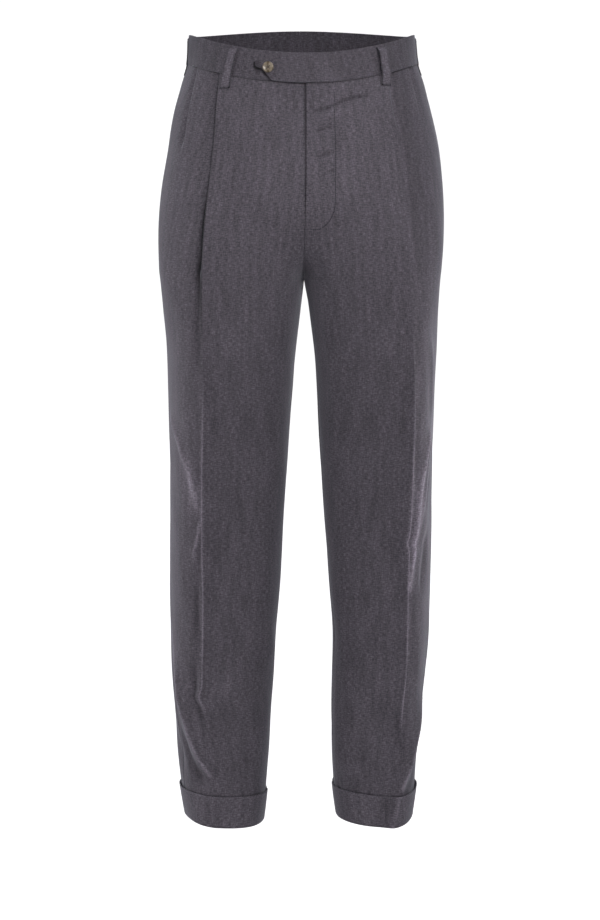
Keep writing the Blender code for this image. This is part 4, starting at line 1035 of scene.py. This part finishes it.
def make_heather_group():
    """Fine wool twill spun from light and dark fibres: colour, roughness and height."""
    group = bpy.data.node_groups.new("heathered wool", "ShaderNodeTree")
    for direction, name, kind, value in (
            ("INPUT", "Cloth", "Vector", None),
            ("INPUT", "Base", "Color", (0.08, 0.072, 0.084, 1)),
            ("INPUT", "Dark Fibre", "Color", (0.03, 0.026, 0.032, 1)),
            ("INPUT", "Light Fibre", "Color", (0.175, 0.157, 0.185, 1)),
            ("INPUT", "Heather", "Float", 0.5),
            ("OUTPUT", "Colour", "Color", None),
            ("OUTPUT", "Roughness", "Float", None),
            ("OUTPUT", "Height", "Float", None)):
        made = group.interface.new_socket(name=name, in_out=direction, socket_type="NodeSocket" + kind)
        if value is not None:
            made.default_value = value
    inside = node(group, "NodeGroupInput").outputs
    cloth, heather, light = inside["Cloth"], inside["Heather"], inside["Light Fibre"]
    yarn = spread(group, noise(group, cloth, 780, 3, 0.65, (1.0, 0.22, 1)), 0.36, 0.64)
    weft = spread(group, noise(group, cloth, 820, 2, 0.6, (0.22, 1.0, 1)), 0.38, 0.62)
    fleck = spread(group, noise(group, cloth, 900, 3, 0.7), 0.52, 0.70)
    slub = noise(group, cloth, 150, 3, 0.6, (1.0, 0.12, 1))
    cloud = noise(group, cloth, 16, 3, 0.5)
    twill = node(group, "ShaderNodeTexWave", {"Vector": cloth, "Scale": 330, "Distortion": 1.2},
                 wave_type="BANDS", bands_direction="DIAGONAL").outputs["Fac"]
    colour = mixed(group, maths(group, "MULTIPLY", yarn, heather), inside["Base"], light)
    colour = mixed(group, maths(group, "MULTIPLY", weft, heather), colour, inside["Dark Fibre"])
    colour = mixed(group, maths(group, "MULTIPLY", fleck, 0.16), colour, light)
    tone = maths(group, "ADD", slub, weighted(group, 0.35, (cloud, 0.3)))
    scaled = node(group, "ShaderNodeVectorMath", {0: colour, "Scale": tone}, operation="SCALE")
    node(group, "NodeGroupOutput", {
        "Colour": scaled.outputs[0], "Roughness": weighted(group, 0.82, (yarn, 0.10)),
        "Height": weighted(group, 0.0, (yarn, 0.5), (weft, 0.3), (twill, 0.4))})
    return group


HEATHER = make_heather_group()


def new_material(name):
    """A material, its node tree and the inputs of its Principled shader."""
    made = bpy.data.materials.new(name)
    made.use_nodes = True
    return made, made.node_tree, made.node_tree.nodes["Principled BSDF"].inputs


def make_wool(name, base, heather=0.68, bump=0.3):
    made, tree, shader = new_material(name)
    place = node(tree, "ShaderNodeUVMap", uv_map="cloth").outputs[0]
    wool = node(tree, "ShaderNodeGroup", {"Cloth": place, "Base": base + (1,), "Heather": heather},
                node_tree=HEATHER).outputs
    # The tone attribute carries the painted shade and highlight, which scale the cloth's colour
    tone = node(tree, "ShaderNodeAttribute", attribute_name="tone").outputs["Fac"]
    tone = maths(tree, "MAXIMUM", maths(tree, "ADD", tone, 1.0), DARKEST_TONE)
    shaded = node(tree, "ShaderNodeVectorMath", {0: wool["Colour"], "Scale": tone}, operation="SCALE")
    nap = node(tree, "ShaderNodeBump", {"Strength": bump, "Distance": 0.25 * MM, "Height": wool["Height"]})
    feed(tree, shader, {
        "Base Color": shaded.outputs[0], "Roughness": wool["Roughness"], "Normal": nap.outputs[0],
        "Specular IOR Level": 0.22, "Sheen Weight": 0.34, "Sheen Roughness": 0.45,
        "Sheen Tint": (0.86, 0.85, 0.95, 1)})
    return made


WOOL = make_wool("grey flannel", (0.0665, 0.0565, 0.069))
THREAD = make_wool("grey sewing thread", (0.07, 0.062, 0.075), heather=0.2, bump=0.1)
# Real stitches whose dark colour is painted shade of the stitched groove
GROOVE_SHADE_THREAD = make_wool("sewing thread darkened as groove shade", (0.022, 0.019, 0.024), heather=0.1, bump=0.1)
BROWN_THREAD = make_wool("brown button thread", (0.035, 0.022, 0.012), heather=0.2, bump=0.1)


def make_horn():
    made, tree, shader = new_material("brown horn")
    place = node(tree, "ShaderNodeTexCoord").outputs["Object"]
    streak = spread(tree, noise(tree, place, 260, 4, 0.6, (1, 1, 0.35)), 0.38, 0.62)
    cloud = spread(tree, noise(tree, place, 90, 2, 0.5), 0.35, 0.65)
    brown = mixed(tree, streak, (0.05, 0.03, 0.014, 1), (0.17, 0.13, 0.08, 1))
    horn = mixed(tree, maths(tree, "MULTIPLY", cloud, 0.6), brown, (0.26, 0.21, 0.15, 1))
    feed(tree, shader, {
        "Base Color": horn, "Roughness": weighted(tree, 0.22, (streak, 0.15)),
        "Specular IOR Level": 0.6, "Coat Weight": 0.4, "Coat Roughness": 0.12})
    return made


HORN = make_horn()


# Pieces


def make_fronts_and_backs():
    for side in (1, -1):
        fly_dip = 0.0 if side > 0 else 0.2
        for word, stations, columns, middle, seam_dips in (
                ("front", front_stations, front_column_count(), FRONT_STEPS, (fly_dip, 0.5)),
                ("back", back_stations, sum(BACK_STEPS), BACK_STEPS[0], (0.5, 0.4))):
            points, tone = panel_points(side, stations, columns, seam_dips)
            sew(word + hand(side), points, CLOTH, side > 0, middle, tone)


def make_facings():
    end = POCKET_MOUTH_END_Z - FACING_PAST_MOUTH
    for side in (1, -1):
        v = np.arange(FACING_ROWS + 1)[:, None] / FACING_ROWS + np.zeros(FACING_STEPS + 1)
        z = np.full(v.shape, POCKET_MOUTH_END_Z / 2)
        for _ in range(4):
            u, offset = facing_stations(side, z)
            top = band_lower_z(side, u) - SEAM_GAP
            z = top + (end - top) * v
        sew("pocket_facing" + hand(side), surface_point(side, u, z, offset),
            CLOTH, side > 0)


def tab_height(from_tip):
    stops = np.array(TAB_OUTLINE, float) * MM
    return np.interp(from_tip, stops[:, 0], stops[:, 1])


def tab_shadow(u, z, inward, middle):
    """The tab darkens the band that it lies on: beside its tip and along its lower edge."""
    above = np.maximum(abs(z - middle) - tab_height(np.maximum(inward, 0.0)) / 2, 0.0)
    beside = np.hypot(np.minimum(inward + 1 * MM, 0.0), above)
    dark = 0.6 * near(beside, 2 * MM) * (inward < 28 * MM) + 0.3 * near(beside, 6 * MM) * (inward < 8 * MM)
    return dark * smooth_step((middle + 5 * MM - z) / (4 * MM)) * (u < 0.6)


def make_waistbands():
    for side in (1, -1):
        start = u_beyond(side, 0.0, BAND_SIDE_Z, -TAB_LENGTH if side > 0 else -FLY_UNDERLAP)
        tab = start + (TAB_END_U - start) * (1 - (1 - np.arange(TAB_STEPS) / TAB_STEPS) ** 0.75)
        u = np.append(tab, TAB_END_U + (4 - TAB_END_U) * np.arange(BAND_STEPS + 1) / BAND_STEPS)
        v = crowded(BAND_ROWS, 0.5)[:, None] + 0.0 * u
        u = u + 0.0 * v
        middle = band_lower_z(side, u) + BAND_HEIGHT / 2
        height = BAND_HEIGHT + 0.0 * u
        if side > 0:
            from_tip = length(bare_point(side, u, BAND_SIDE_Z) - bare_point(side, start, BAND_SIDE_Z))
            height = np.where(u < 0.5, tab_height(from_tip), height)
        z = middle + (0.5 - v) * height
        lift = BAND_LIFT - BAND_CROWN * (2 * v - 1) ** 4
        if side > 0:
            beyond = from_centre(side, u, z) - FLY_UNDERLAP
            lift = lift + TAB_STAND_OFF * (1 - smooth_step(beyond / FLY_BLEND))
        points = raised(side, u, z, lift)
        # Painted shade at the tab's tip; on the other band, the painted shadow of the tab
        if side > 0:
            tone = -0.35 * near(from_tip, 7 * MM) * (u < 0.5)
        else:
            tone = -tab_shadow(u, z, points[..., 0] - TAB_TIP_X, middle)
        sew("waistband" + hand(side), points, BAND_WALL, side > 0, 2 * TAB_STEPS,
            tone + BAND_PAINTED_SHADE, (0.7 * MM, 3))


def past_break(u, up):
    """How far u lies beyond the break of the left turn-up, which leans as it goes up."""
    return u - CUFF_BREAK + CUFF_BREAK_LEAN * (1 - up)


def cuff_fold(side, u, up):
    """Bulges and breaks of the turn-ups, which bend more than the leg inside them."""
    if side > 0:
        beyond = past_break(u, up)
        break_line = 3.0 * MM * np.exp(-(abs(beyond) / 0.06) ** 1.3)
        hollow = -2.2 * MM * near(beyond + 0.14, 0.09)
        return break_line + hollow + 0.6 * MM * np.sin(u * 7.1 + 1.0) * up
    return 0.9 * MM * np.sin(u * 4.3 + 0.4) * up + 0.7 * MM * np.sin(u * 9.7 + 2.0) * (1 - up)


def cuff_tone(side, u, up):
    """Turn-ups catch a little more light, most along the top and the break of the left one."""
    tone = 0.12 + 0.18 * near(1 - up, 0.04)
    if side > 0:
        beyond = past_break(u, up)
        tone = tone + 0.5 * near(beyond - 0.01, 0.035) - 0.35 * near(beyond + 0.10, 0.07)
        tone = tone + 0.12 * near(beyond - 0.3, 0.22)
    return tone


def make_cuffs():
    """Each turn-up is one sheet: in at the hem, round the fold and up the outside."""
    for side in (1, -1):
        u = 4.0 * np.arange(CUFF_STEPS + 1) / CUFF_STEPS + np.zeros((len(CUFF_PROFILE), 1))
        offset, height = (np.array(CUFF_PROFILE)[:, k:k + 1] * MM + 0.0 * u for k in (0, 1))
        z = cuff_lower_z(side, u) + height
        up = height / CUFF_HEIGHT
        outside = offset > 0
        most, at = CUFF_GAPE[side]
        gape = np.where(outside, most * MM * np.exp(-((u - at) / 0.3) ** 2) * up, 0.0)
        lift = crease_lift(side, u, z) + fold_lift(side, u, z, bare_point(side, u, z), LARGE_FOLDS)
        lift = lift + cuff_fold(side, u, up) + offset + gape - CUFF_NARROWING * (1 - up)
        points = raised(side, u, z, lift)
        points[:, -1] = points[:, 0]
        sew("cuff" + hand(side), points, CUFF_CLOTH,
            side < 0, tone=np.where(outside, cuff_tone(side, u, up), 0.0))


def make_belt_loops():
    """Strips folded under at both ends, standing a little off the waistband between them."""
    made = []
    for word, side, foot_u, head_u, stand_off, foot_extra, foot_lift in LOOP_PLACES:
        middle_u = (foot_u + head_u) / 2
        foot = LOOP_FOOT_DROP + foot_extra * MM
        low = float(band_lower_z(side, middle_u)) - foot
        t = np.arange(LOOP_ROWS + 1) / LOOP_ROWS
        height = (LOOP_LENGTH + foot_extra * MM) * t
        outward = normal_at(side, middle_u, low + LOOP_LENGTH / 2)
        outward[2] = 0
        outward /= length(outward)
        across = np.array([-outward[1], outward[0], 0])
        arch = smooth_step(t / 0.30) * smooth_step((1 - t) / 0.16)
        on_band = smooth_step((height - foot + 2 * MM) / (3 * MM))
        lift = foot_lift * MM + BAND_LIFT * on_band + stand_off * MM * arch
        centre = surface_point(side, foot_u + (head_u - foot_u) * t, low + height) + outward * lift[:, None]
        s = np.arange(LOOP_COLUMNS_ACROSS + 1) / LOOP_COLUMNS_ACROSS - 0.5
        width = LOOP_WIDTH * (1.05 - 0.08 * np.sin(math.pi * t))[:, None]
        crown = -0.7 * MM * (2 * s) ** 4
        points = centre[:, None] + across * (s * width)[..., None] + outward * crown[:, None]
        # Painted light and shade: the loop a little lighter, darkened along its long edges and at its foot
        tone = 0.12 - 0.8 * near((0.5 - abs(s)) * width, 1.6 * MM) - 0.75 * near(height, 1.8 * MM)[:, None]
        sew("loop_" + word, points, LOOP_CLOTH, tone=tone,
            edge=(0.5 * MM, 2))
        made.append((points, outward))
    return made


def thread_run(name, starts, ends, lifts, radius, material):
    """Many short stitches in one piece: each a slim six-sided thread, sunk at both ends."""
    mesh_data = bmesh.new()
    for start, end, lift in zip(starts, ends, lifts):
        start, end, lift = Vector(start), Vector(end), Vector(lift)
        run = end - start
        turn = run.to_track_quat("Z", "X").to_matrix().to_4x4()
        bmesh.ops.create_cone(mesh_data, segments=6, radius1=radius, radius2=radius, depth=run.length,
                              cap_ends=True, matrix=Matrix.Translation((start + end) / 2 + lift) @ turn)
    made = piece_from(name, mesh_data)
    made.data.uv_layers.new(name="cloth")
    made.data.shade_smooth()
    dress(made, material, "wool")


def make_fly_stitching():
    """The line that holds the fly's facing: down beside the fly and curved in to its end."""
    knots = np.array(FLY_STITCH_LINE, float)
    steps = np.linspace(0, len(knots) - 1, 400)
    u = np.interp(steps, np.arange(len(knots)), knots[:, 0])
    z = np.interp(steps, np.arange(len(knots)), knots[:, 1]) * MM
    path = surface_point(1, u, z, fly_lift(1, u, front_edge(1, z), z))
    reach = np.append(0.0, np.cumsum(length(np.diff(path, axis=0))))
    at = np.arange(0.0, reach[-1] - FLY_STITCH, FLY_STITCH_PITCH)

    def along(values, distance):
        return np.stack([np.interp(distance, reach, values[:, k]) for k in range(3)], axis=-1)

    lift = along(normal_at(1, u, z), at) * 0.2 * MM
    # Thick dark stitches: real stitching, with the groove's shade painted into their colour
    thread_run("fly_stitching", along(path, at), along(path, at + FLY_STITCH), lift, FLY_THREAD_RADIUS,
               GROOVE_SHADE_THREAD)


def make_bar_tacks(loops):
    """A dense row of stitches across the foot and the head of each belt loop."""
    starts, ends, lifts = [], [], []
    for points, outward in loops:
        for share in TACK_PLACES:
            row = points[int(share * LOOP_ROWS)]
            up = (points[int(share * LOOP_ROWS) + 1] - row)[LOOP_COLUMNS_ACROSS // 2]
            up = up / np.linalg.norm(up)
            for step in range(TACK_STITCHES):
                centre = row[3] + (row[-4] - row[3]) * step / (TACK_STITCHES - 1)
                starts.append(centre - up * TACK_HALF_LENGTH)
                ends.append(centre + up * TACK_HALF_LENGTH)
                lifts.append(outward * 0.06 * MM)
    thread_run("loop_bar_tacks", starts, ends, lifts, THREAD_RADIUS, THREAD)


def button_place():
    u = u_beyond(1, 0.0, BAND_SIDE_Z, -BUTTON_FROM_FLY)
    outward = Vector(normal_at(1, u, BUTTON_Z))
    centre = Vector(bare_point(1, u, BUTTON_Z)) + outward * (BAND_LIFT + TAB_STAND_OFF + SEAM_GAP)
    return Matrix.Translation(centre) @ outward.to_track_quat("Z", "X").to_matrix().to_4x4()


def make_button(place):
    """Turned from horn: a raised rim round a dish, drilled with four holes."""
    blank_data = bmesh.new()
    radius, thick = BUTTON_DIAMETER / 2, BUTTON_THICKNESS
    ring = [blank_data.verts.new((r * radius, 0, h * thick)) for r, h in BUTTON_SECTION]
    edges = [blank_data.edges.new(pair) for pair in zip(ring, ring[1:])]
    bmesh.ops.spin(blank_data, geom=ring + edges, cent=(0, 0, 0), axis=(0, 0, 1), dvec=(0, 0, 0),
                   angle=2 * math.pi, steps=72, use_merge=True)
    bmesh.ops.remove_doubles(blank_data, verts=blank_data.verts[:], dist=1e-6)
    bmesh.ops.recalc_face_normals(blank_data, faces=blank_data.faces[:])
    blank = piece_from("waist_button_blank", blank_data)
    half = BUTTON_HOLE_PITCH / 2
    drill_data = bmesh.new()
    for x, y in ((half, half), (-half, half), (-half, -half), (half, -half)):
        bmesh.ops.create_cone(drill_data, segments=24, radius1=BUTTON_HOLE_DIAMETER / 2,
                              radius2=BUTTON_HOLE_DIAMETER / 2, depth=4 * thick, cap_ends=True,
                              matrix=Matrix.Translation((x, y, 0)))
    drill = piece_from("drill", drill_data)
    cut = blank.modifiers.new("holes", "BOOLEAN")
    cut.object = drill
    cut.solver = "EXACT"
    bpy.context.view_layer.update()
    drilled = bpy.data.meshes.new_from_object(blank.evaluated_get(bpy.context.evaluated_depsgraph_get()))
    for tool in (blank, drill):
        bpy.data.objects.remove(tool)
    drilled.name = "waist_button_horn"
    drilled.transform(place)
    drilled.shade_smooth()
    drilled.set_sharp_from_angle(angle=math.radians(50))
    dress(placed("waist_button_horn", drilled), HORN, "horn", "waist_button")


def make_button_thread(place):
    """Two crossed bundles of three strands that arch over the dish and go down the holes."""
    reach = BUTTON_HOLE_PITCH / math.sqrt(2)
    starts, ends = [], []
    for turn in (math.pi / 4, 3 * math.pi / 4):
        direction = Vector((math.cos(turn), math.sin(turn), 0))
        across = Vector((-math.sin(turn), math.cos(turn), 0))
        for strand in (-STRAND_PITCH, 0.0, STRAND_PITCH):
            arc = []
            for t in np.arange(13) / 6 - 1:
                rise = DISH_LEVEL + STRAND_ARCH * (1 - t ** 4) - STRAND_PLUNGE * abs(t) ** 8
                arc.append(place @ (direction * (t * reach) + across * strand + Vector((0, 0, rise))))
            starts += arc[:-1]
            ends += arc[1:]
    thread_run("button_thread", starts, ends, [(0, 0, 0)] * len(starts), THREAD_RADIUS, BROWN_THREAD)


# Stage, lights and camera


def make_stage():
    """White paper under and behind the piece, and even light all round."""
    floor_data = bmesh.new()
    bmesh.ops.create_grid(floor_data, x_segments=1, y_segments=1, size=14.0,
                          matrix=Matrix.Translation((0, 4, FLOOR_Z)))
    floor = piece_from("studio_floor", floor_data)
    paper, tree, shader = new_material("white paper")
    seen = node(tree, "ShaderNodeLightPath").outputs["Is Camera Ray"]
    feed(tree, shader, {"Base Color": (0.45, 0.45, 0.45, 1), "Roughness": 0.9,
                        "Emission Color": (1, 1, 1, 1), "Emission Strength": seen})
    floor.data.materials.append(paper)
    world = bpy.data.worlds.new("studio")
    bpy.context.scene.world = world
    world.use_nodes = True
    tree = world.node_tree
    tree.nodes.clear()
    shown = node(tree, "ShaderNodeBackground", {"Color": (1, 1, 1, 1), "Strength": 1.05})
    lit = node(tree, "ShaderNodeBackground", {"Color": (0.93, 0.95, 1.0, 1), "Strength": 0.41})
    seen = node(tree, "ShaderNodeLightPath").outputs["Is Camera Ray"]
    mix = node(tree, "ShaderNodeMixShader", {0: seen, 1: lit.outputs[0], 2: shown.outputs[0]})
    node(tree, "ShaderNodeOutputWorld", {"Surface": mix.outputs[0]})


def make_light(name, place, target, size, power, spread_angle=180):
    lamp = bpy.data.lights.new(name, "AREA")
    lamp.shape = "RECTANGLE"
    lamp.size, lamp.size_y = size
    lamp.energy = power
    lamp.spread = math.radians(spread_angle)
    made = placed(name, lamp)
    made.location = place
    made.rotation_euler = (Vector(target) - Vector(place)).to_track_quat("-Z", "Y").to_euler()


def make_lights():
    make_light("front_top", (0.3, -2.2, 2.1), (0, 0, -0.1), (1.0, 0.6), 11)
    make_light("upper_front", (0.45, -1.5, 0.6), (0.03, -0.1, -0.12), (0.4, 0.4), 0.42, 24)
    make_light("low_front", (-0.1, -2.4, -1.05), (0, 0, -1.05), (1.2, 0.6), 1.95, 50)
    make_light("front_left", (-2.0, -1.9, -0.75), (0, 0, -0.8), (0.8, 1.6), 12)
    make_light("front_right", (2.0, -1.9, -0.75), (0, 0, -0.8), (0.8, 1.6), 10.8)
    make_light("side_left", (-2.1, 0.1, -0.45), (0, 0, -0.5), (0.4, 0.8), 1.1, 34)
    make_light("side_right", (2.1, 0.1, -0.55), (0, 0, -0.58), (0.4, 0.5), 0.7, 18)


def make_camera():
    """Level with mid-thigh, 4.2 m ahead of the waist, with a long lens."""
    lens = bpy.data.cameras.new("camera")
    lens.sensor_fit = "AUTO"
    lens.sensor_width = SENSOR
    lens.lens = SENSOR * PIXELS_PER_SLOPE / PICTURE_HEIGHT
    lens.shift_x = -1 / PICTURE_HEIGHT
    lens.shift_y = -130 / PICTURE_HEIGHT
    camera = placed("camera", lens)
    camera.location = (0, -4.2, -0.381)
    camera.rotation_euler = (math.radians(90), 0, 0)
    bpy.context.scene.camera = camera
    bpy.context.scene.view_settings.view_transform = "Standard"


def corners(box):
    return [list(map(float, corner)) for corner in box]


make_camera()
make_stage()
make_lights()
make_fronts_and_backs()
make_facings()
make_waistbands()
make_cuffs()
loops = make_belt_loops()
make_fly_stitching()
make_bar_tacks(loops)
place = button_place()
make_button(place)
make_button_thread(place)
